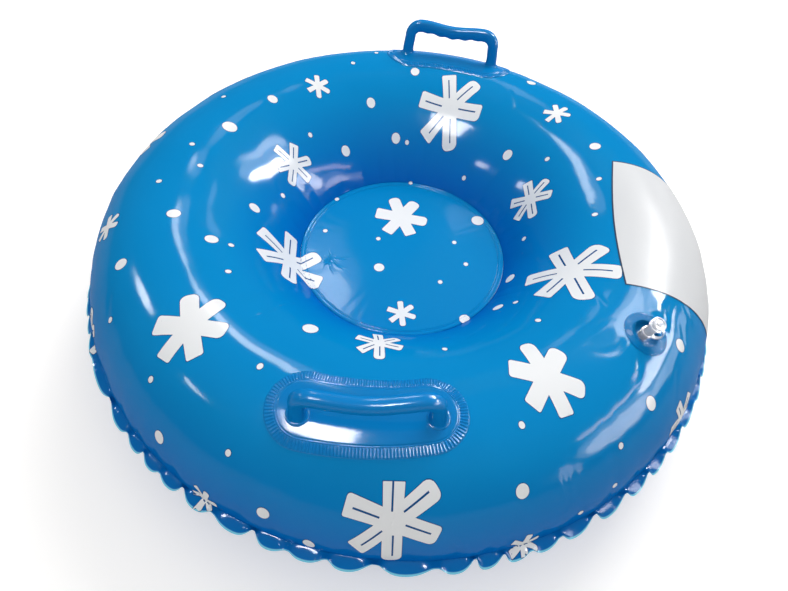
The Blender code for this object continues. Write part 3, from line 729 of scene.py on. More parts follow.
def film_frame(azimuth, radius, lift):
    """Axes at a point over the smooth upper film: x outwards, z along the normal."""
    slope = math.asin(np.clip((radius ** 2 - CROWN_RADIUS ** 2) / BULGE, -1, 1))
    r, h, n_r, n_z = (float(v) for v in film_face(np.float64(slope), 1))
    out = Vector((math.cos(azimuth), math.sin(azimuth), 0))
    normal = out * n_r + Vector((0, 0, n_z))
    along = Vector((-math.sin(azimuth), math.cos(azimuth), 0))
    origin = out * r + Vector((0, 0, SEAM_HEIGHT + h)) + normal * lift
    return frame_of(origin, along.cross(normal), normal)


VALVE_AXES = film_frame(VALVE_AZIMUTH, VALVE_RADIUS, 0)


def place(points, matrix):
    """Local points moved by a matrix."""
    matrix = np.array(matrix)
    return points @ matrix[:3, :3].T + matrix[:3, 3]


def cut_valve_hole(points, faces):
    """Round hole for the valve's cup: faces inside go, and the edge is drawn onto the circle."""
    axes = np.array(VALVE_AXES)
    local = (points - axes[:3, 3]) @ axes[:3, :3]
    offset = np.hypot(local[:, 0], local[:, 1])
    offset[np.abs(local[:, 2]) > 0.03] = 1
    inside = offset[faces].mean(1) < FILM_HOLE_RADIUS
    edge = np.intersect1d(faces[inside], faces[~inside])
    local[edge, :2] *= (FILM_HOLE_RADIUS / offset[edge])[:, None]
    points[edge] = place(local[edge], axes)
    return used_only(points, faces[~inside])


def make_film(name, side, node):
    """Skin of one film: rows along its section, columns round the tube, rims turned in."""
    points = film_at(even_turns(FILM_COLUMNS)[None], film_rows(side)[:, None], side)
    seam = points[-1].copy()
    seam[:, 2] = SEAM_HEIGHT + side * (FILM_WALL + GAP)
    inward = seam * np.array([1 - RIM_TURN_IN / BODY_RADIUS] * 2 + [1])
    ring_in = points[0] + np.array([0, 0, -side * FILM_WALL])
    points = np.concatenate([ring_in[None], points[:-1], seam[None], inward[None]])
    faces = quads(points)
    points = points.reshape(-1, 3)
    if side > 0:
        points, faces = cut_valve_hole(points, faces[:, ::-1])
    piece(name, points, FILM, node=node, faces=faces, closed=False)


def make_margin():
    """Fused rim: one closed sheet from its inlay between the films to the wavy cut edge."""
    azimuth = even_turns(MARGIN_COLUMNS)[None]
    reach = np.concatenate([[-MARGIN_INLAY, -0.0005], np.linspace(0, MARGIN_WIDTH, 9)])[:, None]
    under, over = margin_at(azimuth, reach, -1), margin_at(azimuth, reach[::-1], 1)
    points = np.concatenate([under, over, under[:1]])
    shares = np.concatenate([reach, reach[::-1], reach[:1]]) / MARGIN_WIDTH
    uv = np.stack(np.broadcast_arrays(azimuth, shares), -1)
    piece("ruffled_margin", points, HEM, node="outer_weld_margin", uv=uv)


def make_ring_weld():
    """Flat ring where both sheets are fused, with a double line pressed into each face."""
    radii = np.linspace(RING_RADIUS - RING_WELD_WIDTH, RING_RADIUS - GAP, 22)[:, None]
    half = FLOOR_TOP - SEAT_HEIGHT + weld_rise(radii)
    under, over = (polar(radii, even_turns(RING_COLUMNS), SEAT_HEIGHT + side * half) for side in (-1, 1))
    points = np.concatenate([under, over[::-1], under[:1]])
    piece("ring_weld_band", points, FLOOR_FILM, node="ring_weld")


def make_floor(name, side, node):
    """Floor layer: a closed disc whose outer face has the pleats and the star."""
    edge = RING_RADIUS - RING_WELD_WIDTH - GAP
    star_turn, star_radius = math.atan2(STAR[1], STAR[0]), math.hypot(*STAR)
    fine = STAR_LINES if side > 0 else 0
    zone = STAR_ZONE / star_radius
    azimuth = crowded(-math.pi, math.pi, FLOOR_COLUMNS + 1, star_turn, zone, fine)[None, :-1]
    radii = crowded(0, edge, FLOOR_ROWS, star_radius, STAR_ZONE, fine)[:, None]
    rise = floor_rise(radii * np.cos(azimuth), radii * np.sin(azimuth), side)
    outer = polar(radii, azimuth, SEAT_HEIGHT + side * (FLOOR_TOP - SEAT_HEIGHT + rise))
    inner = polar(np.linspace(1, 0, 6)[:, None] * edge, azimuth, SEAT_HEIGHT + side * GAP / 2)
    piece(name, np.concatenate([outer, inner]), FLOOR_FILM, node=node)


# Arms of the three flakes: direction in degrees, length, width at the root and at the tip, and
# the tip's two corner radii, in sheet millimetres
OUTLINED_ARMS = (
    (98, 66, 26, 30, 3, 4), (42, 71, 26, 29, 9, 12), (-14, 67, 29, 31, 9, 5),
    (-85, 75, 27, 30, 11, 11), (-134, 71, 22, 30, 3, 4), (166.5, 67, 25, 31, 5, 3),
)
CUT_ARMS = ((94, 47, 26, 29, 1, 1),) + OUTLINED_ARMS[1:]
SOLID_ARMS = (
    (111, 53, 23, 23, 9, 9), (59, 50, 24, 24, 9, 9), (-9, 50, 22, 24, 8, 8),
    (-64, 49, 22, 22, 3, 3), (-120, 49, 22, 23, 3, 3), (173.5, 49, 24, 27, 4, 4),
)
SMALL_ARMS = (
    (100, 25, 9, 10, 3, 3), (44, 25, 9, 10, 4, 4), (-14, 25, 9, 10, 4, 4),
    (-80, 26, 9, 10, 4, 4), (-134, 25, 8, 10, 1, 1), (165, 25, 9, 10, 1, 1),
)
SLIT_START_SHARE = 0.27
SLIT_END_SHARE = 0.83
SLIT_OPEN_SHARE = 1.1
SLIT_WIDTH = 2.7
SLIT_LEAST_SCALE = 0.75
SLIT_OFFSET = 1.2

# Places on the sheet, in millimetres
BIG_OUTLINED = ((73, 314), (293, -121), (-202, -77))
BIG_CUT = ((20, -533),)
MEDIUM_OUTLINED = ((-239, 131), (246, 99), (-23, -298), (472, -331))
BIG_SOLID = ((-289, -312), (216, -343), (-9, 86))
SMALL_SOLID = ((-210, 306), (285, 275), (8, -140), (-488, -107), (-265, -542), (225, -565))
BIG_DOTS = ((-353, 141), (138, 96), (-132, -292))
MEDIUM_DOTS = (
    (-10, 383), (-99, 306), (-291, 241), (-141, 208), (-38, 257), (235, 375), (201, 206),
    (351, 180), (-39, -45), (200, -65), (176, -158), (115, -140), (-286, -17), (-383, -101),
    (-321, -140), (-426, -198), (-318, -450), (-156, -543), (-95, -589), (183, -480),
    (367, -339), (425, -241),
)
SMALL_DOTS = (
    (-143, 384), (-97, 434), (-377, 229), (-216, 203), (-13, 253), (274, 171), (355, 95),
    (344, 9), (113, 188), (3, 184), (-137, 118), (-147, 32), (-47, 25), (94, 32), (116, -18),
    (71, -65), (231, 18), (205, -166), (-246, 55), (-294, -139), (-278, -205), (-400, 75),
    (-378, 25), (-425, -26), (-422, -283), (-327, -377), (-200, -468), (-179, -369), (80, -304),
    (227, -238), (176, -409), (322, -403), (344, -456), (299, -503), (343, -250),
)
BIG_DOT, MEDIUM_DOT, SMALL_DOT = 24, 18.5, 8.5
# Steps by which the sheet's print repeats, in millimetres
REPEAT_STEPS = np.array([(497, -33), (-277, -405)], float)


def turns_away(place_of):
    """Whether the upper film faces away from the camera at a place of the sheet."""
    x, y = np.asarray(place_of) * MM
    rho, azimuth = math.hypot(x, y), math.atan2(y, x)
    if not FLOOR_SHEET_RADIUS < rho < SEAM_SHEET_RADIUS - 0.01:
        return False
    slope = np.interp(rho - FLOOR_SHEET_RADIUS, ARCS[1], SLOPES)
    radius, height, normal_r, normal_z = film_face(slope, 1)
    out = np.array([math.cos(azimuth), math.sin(azimuth)])
    point = np.array([*(out * radius), SEAM_HEIGHT + height])
    return float(np.dot([*(out * normal_r), normal_z], CAMERA_PLACE - point)) < 0


def with_repeats(kinds):
    """Each kind's places in view, and their repeats on the far side of the film, kept apart."""
    taken = [(np.array(where, float), reach) for places, reach in kinds for where in places]
    rows = []
    for places, reach in kinds:
        found = [np.array(where, float) for where in places]
        for where in places:
            for across, down in np.ndindex(5, 5):
                other = where + (across - 2) * REPEAT_STEPS[0] + (down - 2) * REPEAT_STEPS[1]
                if turns_away(other) and all(math.hypot(*(other - one)) > reach + size + PRINT_CLEARANCE
                                             for one, size in taken):
                    found.append(other)
                    taken.append((other, reach))
        rows.append(found)
    return rows


def spaced(points, step=PRINT_STEP):
    """Closed outline with its sides divided into steps."""
    rows = []
    for start, end in zip(points, np.roll(points, -1, axis=0)):
        count = max(1, round(float(np.hypot(*(end - start))) / step))
        rows.append(start + (end - start) * (np.arange(count) / count)[:, None])
    return np.concatenate(rows)


def arm_outline(arm, scale, grow):
    """Arm from the flake's middle: straight sides that spread, then a tip with two round corners."""
    turn, length, root, tip, right, left = arm
    end = length * scale + grow
    root, tip = root * scale / 2 + grow, tip * scale / 2 + grow
    rows = [(0.0, -root)]
    for radius, sign in ((right * scale, -1), (left * scale, 1)):
        bend = np.linspace(0, math.pi / 2, 5)
        arc = np.stack([end - radius + radius * np.sin(bend),
                        sign * (tip - radius + radius * np.cos(bend))], 1)
        rows += list(arc if sign < 0 else arc[::-1])
    rows.append((0.0, root))
    return spaced(turned_flat(np.array(rows), turn))


def turned_flat(points, degrees):
    """Flat points turned about the flake's middle."""
    turn = math.radians(degrees)
    x, y = points.T
    return np.stack([x * math.cos(turn) - y * math.sin(turn), x * math.sin(turn) + y * math.cos(turn)], 1)


def slit_outline(arm, scale, open_end):
    """Slit along the middle of an arm, which runs out at the tip where its end is open."""
    turn, length, _, _, _, _ = arm
    start = length * SLIT_START_SHARE * scale
    end = length * (SLIT_OPEN_SHARE if open_end else SLIT_END_SHARE) * scale
    half = SLIT_WIDTH * max(scale, SLIT_LEAST_SCALE) / 2
    side = SLIT_OFFSET * scale
    rows = np.array([(start, side - half), (end, side - half), (end, side + half), (start, side + half)])
    return spaced(turned_flat(rows, turn))


def holds(outline, points):
    """Whether each point lies inside a convex outline that runs anticlockwise."""
    start, end = outline, np.roll(outline, -1, axis=0)
    side = (end - start)[None]
    away = points[:, None] - start[None]
    cross = side[..., 0] * away[..., 1] - side[..., 1] * away[..., 0]
    return (cross >= -1e-9).all(1)


def flat_shape(outlines, holes, middle):
    """Triangles that fill convex outlines and leave the holes, over a grid of inner points."""
    low = np.min([o.min(0) for o in outlines], axis=0)
    high = np.max([o.max(0) for o in outlines], axis=0)
    grid = np.stack(np.meshgrid(np.arange(low[0], high[0], PRINT_STEP),
                                np.arange(low[1], high[1], PRINT_STEP)), -1).reshape(-1, 2)
    ring = weld_line_points(middle, low, high)
    inner = np.concatenate([grid, ring]) if len(ring) else grid
    inner = inner[np.any([holds(o, inner) for o in outlines], axis=0)]
    loops, edges, count = [], [], 0
    for outline in list(outlines) + list(holes):
        numbers = np.arange(len(outline)) + count
        edges += list(zip(numbers.tolist(), np.roll(numbers, -1).tolist()))
        loops.append(outline)
        count += len(outline)
    everything = np.concatenate(loops + [inner])
    made = delaunay_2d_cdt([Vector(p) for p in everything.tolist()], edges, [], 0, 1e-4, False)
    points = np.array([tuple(p) for p in made[0]])
    faces = np.array([face for face in made[2] if len(face) == 3])
    centres = points[faces].mean(1)
    keep = np.any([holds(o, centres) for o in outlines], axis=0)
    for hole in holes:
        keep &= ~holds(hole, centres)
    points, faces = used_only(points, faces[keep])
    corners = points[faces]
    side = np.cross(corners[:, 1] - corners[:, 0], corners[:, 2] - corners[:, 0])
    faces[side < 0] = faces[side < 0][:, ::-1]
    return points + middle, faces


# Distances from the ring weld's outer edge at which a flake has points, in millimetres
WELD_CROSSINGS = (-13.5, -12, -11.2, -10.5, -9.6, -8.6, -7.6, -6.2, -5, -4, -3, -2.2, -1.4, -0.7,
                  0, 1.2, 2.6, 4.2, 6)
CROSSING_STEP = 2.2


def weld_line_points(middle, low, high):
    """Points along the ring weld's edges, so that a flake bends sharply there."""
    rows = []
    for away in WELD_CROSSINGS:
        rho = FLOOR_SHEET_RADIUS / MM + away
        turn = np.linspace(0, 2 * math.pi, round(2 * math.pi * rho / CROSSING_STEP))
        rows.append(np.stack([rho * np.cos(turn), rho * np.sin(turn)], 1) - middle)
    points = np.concatenate(rows)
    return points[(points > low).all(1) & (points < high).all(1)]


def flake(arms, middle, scale, grow, slits, open_first):
    """One flake: its arms, grown by an edge's width, less their slits."""
    outlines = [arm_outline(arm, scale, grow) for arm in arms]
    holes = [slit_outline(arm, scale, open_first and k == 0) for k, arm in enumerate(arms)] if slits else []
    return flat_shape(outlines, holes, middle)


def dot(middle, diameter, grow):
    """One round dot, grown by an edge's width."""
    turn = even_turns(20)
    outline = (diameter / 2 + grow) * np.stack([np.cos(turn), np.sin(turn)], 1)
    return flat_shape([outline], [], middle)


# Flakes of each kind: places, reach in millimetres, arms, scale, and whether they have slits and an
# open first one. Then the dots
FLAKES = (
    (BIG_OUTLINED, 75, OUTLINED_ARMS, 1, True, False),
    (BIG_CUT, 75, CUT_ARMS, 0.96, True, True),
    (MEDIUM_OUTLINED, 43, OUTLINED_ARMS, 0.57, True, False),
    (BIG_SOLID, 56, SOLID_ARMS, 1, False, False),
    (SMALL_SOLID, 28, SMALL_ARMS, 1, False, False),
)
DOTS = ((BIG_DOTS, BIG_DOT), (MEDIUM_DOTS, MEDIUM_DOT), (SMALL_DOTS, SMALL_DOT))
PLACES = with_repeats([kind[:2] for kind in FLAKES] + [(places, size / 2) for places, size in DOTS])


def print_shapes(grow, slits):
    """All flakes and dots of the upper sheet."""
    shapes = []
    for places, (_, _, arms, scale, slit, opened) in zip(PLACES, FLAKES):
        shapes += [flake(arms, where, scale, grow, slits and slit, opened) for where in places]
    for places, (_, size) in zip(PLACES[len(FLAKES):], DOTS):
        shapes += [dot(where, size, grow) for where in places]
    return shapes


def make_print(name, shapes, lift, finish):
    """Thin printed layer that follows the film, all its shapes in one piece."""
    points, faces, count = [], [], 0
    for flat, triangles in shapes:
        rho = np.hypot(*(flat[triangles].mean(1) * MM).T)
        flat, triangles = used_only(flat, triangles[rho < SEAM_SHEET_RADIUS + PRINT_END])
        points.append(on_sheet(flat, lift))
        faces.append(triangles + count)
        count += len(flat)
    piece(name, np.concatenate(points), finish, faces=np.concatenate(faces), closed=False)


def make_panel():
    """Bare white panel on a grid over the film."""
    top, low = np.array(PANEL_TOP, float), np.array(PANEL_LOW, float)
    turn = math.radians(PANEL_EDGE_TURN)
    out = PANEL_WIDTH * np.array([math.cos(turn), math.sin(turn)])
    u, v = np.meshgrid(np.linspace(0, 1, 52), np.linspace(0, 1, 90))
    flat = low + v[..., None] * (top - low) + u[..., None] * out
    points = on_sheet(flat.reshape(-1, 2), FILM_LIFT["panel"])
    uv = np.stack([u * PANEL_WIDTH, v * np.hypot(*(top - low))], -1) * MM
    piece("white_panel", points, PANEL, faces=quads(u, False), closed=False, uv=uv)


def plate_at(side, u, v, lift):
    """Point over the film from a place on a handle's plate: u along the ring, v inwards."""
    start, middle, cosine, sine = handle_line(side)
    along, inwards = u * cosine - v * sine, u * sine + v * cosine
    return film_at(start + along / middle, arc_of_radius(middle - inwards), 1, lift)


def stadium(offset, columns):
    """Points of the outline at an offset from the plate's middle line."""
    border = PLATE_HALF_WIDTH + WELD_BORDER_WIDTH / 2
    straight, bend = 2 * PLATE_RUN, math.pi * border
    where = np.arange(columns) / columns * 2 * (straight + bend)
    half = where % (straight + bend)
    flip = np.where(where < straight + bend, 1.0, -1.0)
    on_run = half < straight
    turn = np.where(on_run, -math.pi / 2, (half - straight) / border - math.pi / 2)
    base = np.where(on_run, half - PLATE_RUN, PLATE_RUN)
    return flip * (base + offset * np.cos(turn)), flip * offset * np.sin(turn)


def plate_profile(offset, share):
    """Lift of the plate: smooth sheet, fillet down to the weld border, a bright ridge and ribs."""
    top = GAP + PLATE_THICKNESS
    low = GAP + WELD_BORDER_THICKNESS
    edge = PLATE_HALF_WIDTH
    lift = top + (low - top) * ease(edge - 0.0015, edge, offset)
    lift = lift + RIDGE_HEIGHT * np.exp(-((offset - edge - 0.0010) / RIDGE_HEIGHT) ** 2)
    rib_zone = ease(edge + 0.0018, edge + 0.0028, offset) * (1 - ease(edge + 0.0108, edge + 0.0118, offset))
    ribs = 0.5 + 0.5 * np.cos(2 * math.pi * PLATE_RIBS * share)
    lift = lift + RIB_HEIGHT * ribs ** 1.5 * rib_zone
    return lift - (low - GAP) * ease(PLATE_REACH - 0.0010, PLATE_REACH, offset)


def make_plate(side):
    """Plate with its weld border: rings from the middle line to the edge, and back underneath."""
    columns = PLATE_RIBS * COLUMNS_PER_RIB
    share = np.arange(columns) / columns
    edge = PLATE_HALF_WIDTH
    offsets = np.concatenate([np.linspace(0, edge - 0.002, 9), np.linspace(edge - 0.0015, edge + 0.003, 10),
                              np.linspace(edge + 0.0045, PLATE_REACH - 0.002, 4),
                              np.linspace(PLATE_REACH - 0.0014, PLATE_REACH, 4)])
    rows = [plate_at(side, *stadium(offset, columns), plate_profile(offset, share)) for offset in offsets]
    rows += [plate_at(side, *stadium(offset, columns), GAP) for offset in np.linspace(PLATE_REACH, 0, 5)]
    piece(f"{side}_plate_sheet", np.stack(rows), PLATE, node=f"{side}_handle_plate")


def handle_frame(side):
    """Axes of a handle: x from foot to foot along the lean axis, z along the film's normal."""
    azimuth, middle, cosine, sine = handle_line(side)
    out = Vector((math.cos(azimuth), math.sin(azimuth), 0))
    along = Vector((-math.sin(azimuth), math.cos(azimuth), 0))
    chord = along * cosine - out * sine
    lift = GAP + PLATE_THICKNESS + FOOT_RIM_HEIGHT + GAP + FOOT_RADIUS
    feet = []
    for end in (-1, 1):
        foot = out * middle + chord * (end * GRIP_SPAN / 2)
        feet.append(film_frame(math.atan2(foot.y, foot.x), foot.to_2d().length, lift).translation)
    normal = film_frame(azimuth, middle, lift).to_3x3().col[2]
    x_axis = (feet[1] - feet[0]).normalized()
    upright = (normal - normal.dot(x_axis) * x_axis).normalized()
    return frame_of((feet[0] + feet[1]) / 2, x_axis, upright)


def grip_stations():
    """Centre, outward direction in the handle's plane and half sizes from foot to foot."""
    half_span, half_top = GRIP_SPAN / 2, GRIP_TOP_SPAN / 2
    top = GRIP_HEIGHT - FOOT_RADIUS - GRIP_BAR_HEIGHT / 2
    knee = top - GRIP_CORNER_RADIUS
    half_run = half_top - GRIP_CORNER_RADIUS
    leg, bar = GRIP_LEG_WIDTH / 2, GRIP_BAR_HEIGHT / 2
    rows = []
    sole = -FOOT_RADIUS - FOOT_RIM_HEIGHT - GAP
    for height in np.linspace(sole, knee, 16)[:-1]:
        share = np.clip(height / knee, 0, 1)
        flare = FOOT_FLARE * math.exp(-((height - sole) / FOOT_FLARE_HEIGHT))
        rows.append((share * (half_span - half_top) - half_span, height, -1.0, 0.0,
                     leg + flare, leg + flare, flare))
    for turn in np.linspace(0, math.pi / 2, 12)[:-1]:
        side, rise = -math.cos(turn), math.sin(turn)
        size = leg + (bar - leg) * turn / (math.pi / 2)
        rows.append((-half_run + GRIP_CORNER_RADIUS * side, knee + GRIP_CORNER_RADIUS * rise,
                     side, rise, size, size, 0.0))
    mirrored = [(-x, z, -side, rise, outer, inner, flare)
                for x, z, side, rise, outer, inner, flare in rows[::-1]]
    for share in np.linspace(-1, 1, 121):
        dip = GRIP_BAR_DIP * math.cos(math.pi * share / 2) ** 2
        fade = 1 - abs(share) ** WAVE_FADE_POWER
        wave = FINGER_WAVE_DEPTH / 2 * math.cos(math.pi * FINGER_WAVES * (share + 1)) * fade
        rows.append((share * half_run, top - dip, 0.0, 1.0, bar, bar - wave, 0.0))
    return rows + mirrored


def blunt(columns, squareness):
    """The two coordinates, from -1 to 1, of a blunt oval's outline."""
    turn = even_turns(columns)
    return [np.sign(wave) * np.abs(wave) ** (2 / squareness) for wave in (np.cos(turn), np.sin(turn))]


def capped(rows):
    """Rings along a piece, with one more at each end that is drawn together in its middle."""
    first, last = (np.repeat(rows[end].mean(0)[None], len(rows[end]), axis=0) for end in (0, -1))
    return np.stack([first, *rows, last])


def make_grip(side):
    """Bar and legs: a blunt section carried from foot to foot, bowed outwards in its middle."""
    across, deep = blunt(GRIP_COLUMNS, GRIP_SQUARENESS)
    rows = []
    for x, z, out_x, out_z, outer, inner, flare in grip_stations():
        bow = GRIP_BAR_BOW * max(1 - (x / (GRIP_SPAN / 2)) ** 2, 0)
        reach = across * np.where(across > 0, outer, inner)
        rows.append(np.stack([x + out_x * reach, deep * (FOOT_RADIUS + flare) - bow, z + out_z * reach], 1))
    axes = handle_frame(side)
    leaned = axes @ Matrix.Rotation(-HANDLES[side]["lean"], 4, "X")
    item = piece(f"{side}_grip", place(capped(rows), leaned), GRIP, None,
                 f"{side}_handle_grip")
    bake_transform(item)


def make_foot_rims(side):
    """Low rounded boss round each foot: a section of outward offset and height round an oval."""
    base = -FOOT_RADIUS - GAP - FOOT_RIM_HEIGHT
    section = np.array([(-0.0016, base - 0.0022), (-0.0016, base + 0.0004), (0.0, base + 0.0011),
                        (0.0014, base + 0.0012), (0.0026, base + 0.0007), (0.0034, base - 0.0004),
                        (0.0036, base - 0.0022), (-0.0016, base - 0.0022)])
    out, height = section[:, :1] + FOOT_CLEARANCE, section[:, 1:]
    turn = even_turns(RIM_COLUMNS)
    for end, word in ((-1, "left"), (1, "right")):
        points = np.stack([end * GRIP_SPAN / 2 + (GRIP_LEG_WIDTH / 2 + out) * np.cos(turn),
                           (FOOT_RADIUS + out) * np.sin(turn), height + 0 * turn], -1)
        piece(f"{side}_{word}_foot_rim", place(points, handle_frame(side)), PLATE)


def rounded(outline, radius, closed):
    """Outline with each corner cut back and bent round: three points of a curve through it."""
    points = np.asarray(outline, float)
    rows = []
    for k, point in enumerate(points):
        if not closed and k in (0, len(points) - 1):
            rows.append(point)
            continue
        ways = points[k - 1] - point, points[(k + 1) % len(points)] - point
        start, end = (point + way * min(radius / np.hypot(*way), CORNER_SHARE) for way in ways)
        for share in (0, 0.5, 1):
            rows.append((1 - share) ** 2 * start + 2 * share * (1 - share) * point + share ** 2 * end)
    return np.array(rows)


def turned(name, outline, finish, body, node, radius=0.0004, lay=None):
    """Piece turned about the valve's axis. An outline that starts on the axis ends on it."""
    open_ended = outline[0][0] == 0
    soft = rounded(outline, radius, not open_ended)
    if not open_ended:
        soft = np.concatenate([soft, soft[:1]])
    points = polar(soft[:, :1], even_turns(VALVE_COLUMNS), soft[:, 1:])
    points = lay(points) if lay else place(points, VALVE_AXES)
    piece(name, points, finish, body, node)


def lay_on_film(points):
    """The flange's points: on the film beyond the cup, and in the cup's own flat frame inside it."""
    flat = place(points, VALVE_AXES)
    offset = np.hypot(points[..., 0], points[..., 1])
    azimuth = VALVE_AZIMUTH + points[..., 1] / VALVE_RADIUS
    curved = film_at(azimuth, arc_of_radius(VALVE_RADIUS + points[..., 0]), 1, points[..., 2])
    share = ease(CUP_RADIUS + CUP_WALL, CUP_RADIUS + CUP_WALL + 0.004, offset)[..., None]
    return flat * (1 - share) + curved * share


def make_valve():
    """Weld disc with its cup, the neck, the stopper, its strap, and the flap inside."""
    outer = CUP_RADIUS + CUP_WALL
    hole = NECK_RADIUS + GAP
    top = GAP + FLANGE_THICKNESS
    edge = FLANGE_RADIUS
    ridge = 0.0005
    flange = [(hole, -CUP_DEPTH), (CUP_RADIUS, -CUP_DEPTH), (CUP_RADIUS, top + CUP_RIM_HEIGHT),
              (outer, top + CUP_RIM_HEIGHT), (outer + 0.0008, top), (outer + 0.0030, top),
              (outer + 0.0036, top + ridge), (outer + 0.0044, top + ridge), (outer + 0.0050, top),
              (outer + 0.0070, top), (outer + 0.0076, top + ridge), (outer + 0.0084, top + ridge),
              (outer + 0.0090, top), (edge - 0.0004, top), (edge, GAP), (outer + 0.002, GAP),
              (outer, GAP - 0.0006), (outer, -CUP_DEPTH - CUP_WALL), (hole, -CUP_DEPTH - CUP_WALL)]
    turned("valve_weld_disc", flange, DISC, "root", "valve_flange", lay=lay_on_film)
    under = -CUP_DEPTH - CUP_WALL - GAP
    inner_end = under - NECK_INNER_LENGTH
    collar = -CUP_DEPTH + NECK_PRESS_TRAVEL + GAP
    neck = [(NECK_BORE_RADIUS, inner_end), (NECK_RADIUS, inner_end),
            (NECK_RADIUS, under - NECK_STOP_THICKNESS), (NECK_STOP_RADIUS, under - NECK_STOP_THICKNESS),
            (NECK_STOP_RADIUS, under), (NECK_RADIUS, under), (NECK_RADIUS, collar),
            (NECK_COLLAR_RADIUS, collar), (NECK_COLLAR_RADIUS, collar + NECK_COLLAR_HEIGHT),
            (NECK_RADIUS, collar + NECK_COLLAR_HEIGHT), (NECK_RADIUS, NECK_HEIGHT - NECK_LIP_HEIGHT),
            (NECK_LIP_RADIUS, NECK_HEIGHT - NECK_LIP_HEIGHT), (NECK_LIP_RADIUS, NECK_HEIGHT),
            (NECK_BORE_RADIUS, NECK_HEIGHT)]
    turned("valve_neck_tube", neck, CLEAR, "valve_neck", "valve_neck")
    seat = NECK_HEIGHT + GAP
    plug = NECK_BORE_RADIUS - GAP
    head = seat + STOPPER_HEAD_HEIGHT
    waist = STOPPER_RADIUS - STOPPER_GROOVE_DEPTH
    third = STOPPER_HEAD_HEIGHT / 3
    stopper = [(0, seat - STOPPER_PLUG_LENGTH), (plug, seat - STOPPER_PLUG_LENGTH), (plug, seat),
               (STOPPER_RADIUS, seat), (STOPPER_RADIUS, seat + third), (waist, seat + third),
               (waist, seat + 2 * third), (STOPPER_RADIUS, seat + 2 * third),
               (STOPPER_RADIUS, head), (STOPPER_RADIUS - 0.0022, head),
               (STOPPER_RADIUS - 0.0026, head - 0.0008), (0.0036, head - 0.0008),
               (0.0032, head - 0.0002), (0, head - 0.0002)]
    turned("valve_stopper_cap", stopper, CLEAR, "stopper", "valve_stopper", radius=0.0006)
    make_strap(collar + NECK_COLLAR_HEIGHT / 2, seat + STOPPER_HEAD_HEIGHT / 6)
    flap = NECK_BORE_RADIUS + FLAP_OVERLAP
    low = inner_end - GAP
    disc = [(0, low - FLAP_THICKNESS), (flap, low - FLAP_THICKNESS), (flap, low), (0, low)]
    turned("check_flap_disc", disc, CLEAR, "check_flap", "check_flap", radius=0.0002)


def make_strap(collar, cap):
    """Band that arches outwards from the neck's collar to the cap: a rounded bar along its arch."""
    share = np.linspace(0, 1, 28)[:, None]
    turn = math.pi * share
    start, end = NECK_COLLAR_RADIUS + GAP, STOPPER_RADIUS + GAP
    x = start + (end - start) * share + STRAP_REACH * np.sin(turn)
    z = collar + (cap - collar) * (1 - np.cos(turn)) / 2
    slope_x = (end - start) / math.pi + STRAP_REACH * np.cos(turn)
    slope_z = (cap - collar) * np.sin(turn) / 2
    length = np.hypot(slope_x, slope_z)
    wide, thick = blunt(STRAP_COLUMNS, 4)
    thick = STRAP_THICKNESS / 2 * thick / length
    rows = np.stack([x + slope_z * thick, STRAP_WIDTH / 2 * wide + 0 * x, z - slope_x * thick], -1)
    item = piece("stopper_strap_band", place(capped(rows), VALVE_AXES), CLEAR, None,
                 "stopper_strap")
    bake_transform(item)


def make_camera():
    """Camera at the photograph's point of view."""
    lens = bpy.data.cameras.new("photo_view")
    lens.sensor_width = 36
    lens.lens = CAMERA_LENS
    lens.clip_start = 0.01
    view = bpy.data.objects.new("photo_view", lens)
    view.location = CAMERA_PLACE
    view.rotation_euler = [math.radians(angle) for angle in CAMERA_TURN]
    bpy.context.scene.collection.objects.link(view)
    bpy.context.scene.camera = view


# Lamps that light the object without showing in its gloss: name, azimuth and elevation, width and
# height in degrees, and radiance
SOFT_LAMPS = (
    ("fill", 0, 90, 90, 90, 0.64),
    ("front_fill", -95, 50, 60, 50, 0.61),
    ("key", 64, 43, 34, 30, 6.1),
)
# Lamps that show only in gloss, as bright shapes: the same, then the shape, its roll and its colour
GLOSS_LAMPS = (
    ("overhead", -127, 67, 15, 16, 82, "RECTANGLE", 28),
    ("left_strip", -157, 37, 10, 3.2, 44, "ELLIPSE"),
    ("left_tall", 167, 32.5, 8, 6, 52, "ELLIPSE"),
    ("back_tower", 110, 53, 7, 17, 30, "ELLIPSE", 23),
    ("back_halo", 106, 51, 12, 13, 5, "ELLIPSE"),
    ("right_back_softbox", 36, 35, 22, 9, 130, "ELLIPSE"),
    ("right_back_halo", 40, 42, 26, 20, 14, "ELLIPSE"),
    ("right_back_strip", 44, 48.5, 25, 4.5, 16, "RECTANGLE"),
    ("side_curtain", 79, 36, 5, 14, 5, "ELLIPSE"),
    ("window_left_pane", -40, 7, 7, 15, 10, "ELLIPSE", 0, (1.0, 0.88, 0.90)),
    ("window_pane", -19, 15, 25, 15, 19, "ELLIPSE", 0, (1.0, 0.91, 0.90)),
    ("window_halo", -17, 16, 36, 21, 6, "ELLIPSE", 0, (1.0, 0.95, 0.93)),
    ("window_middle", 6, 22, 24, 11, 46, "ELLIPSE"),
    ("window_low_pane", 6, 10, 30, 9, 11, "ELLIPSE"),
    ("window_top", -13, 30, 28, 3, 22, "RECTANGLE", 0, (1.0, 0.78, 0.82)),
    ("right_low", 43, 7, 5, 12, 11, "ELLIPSE"),
)


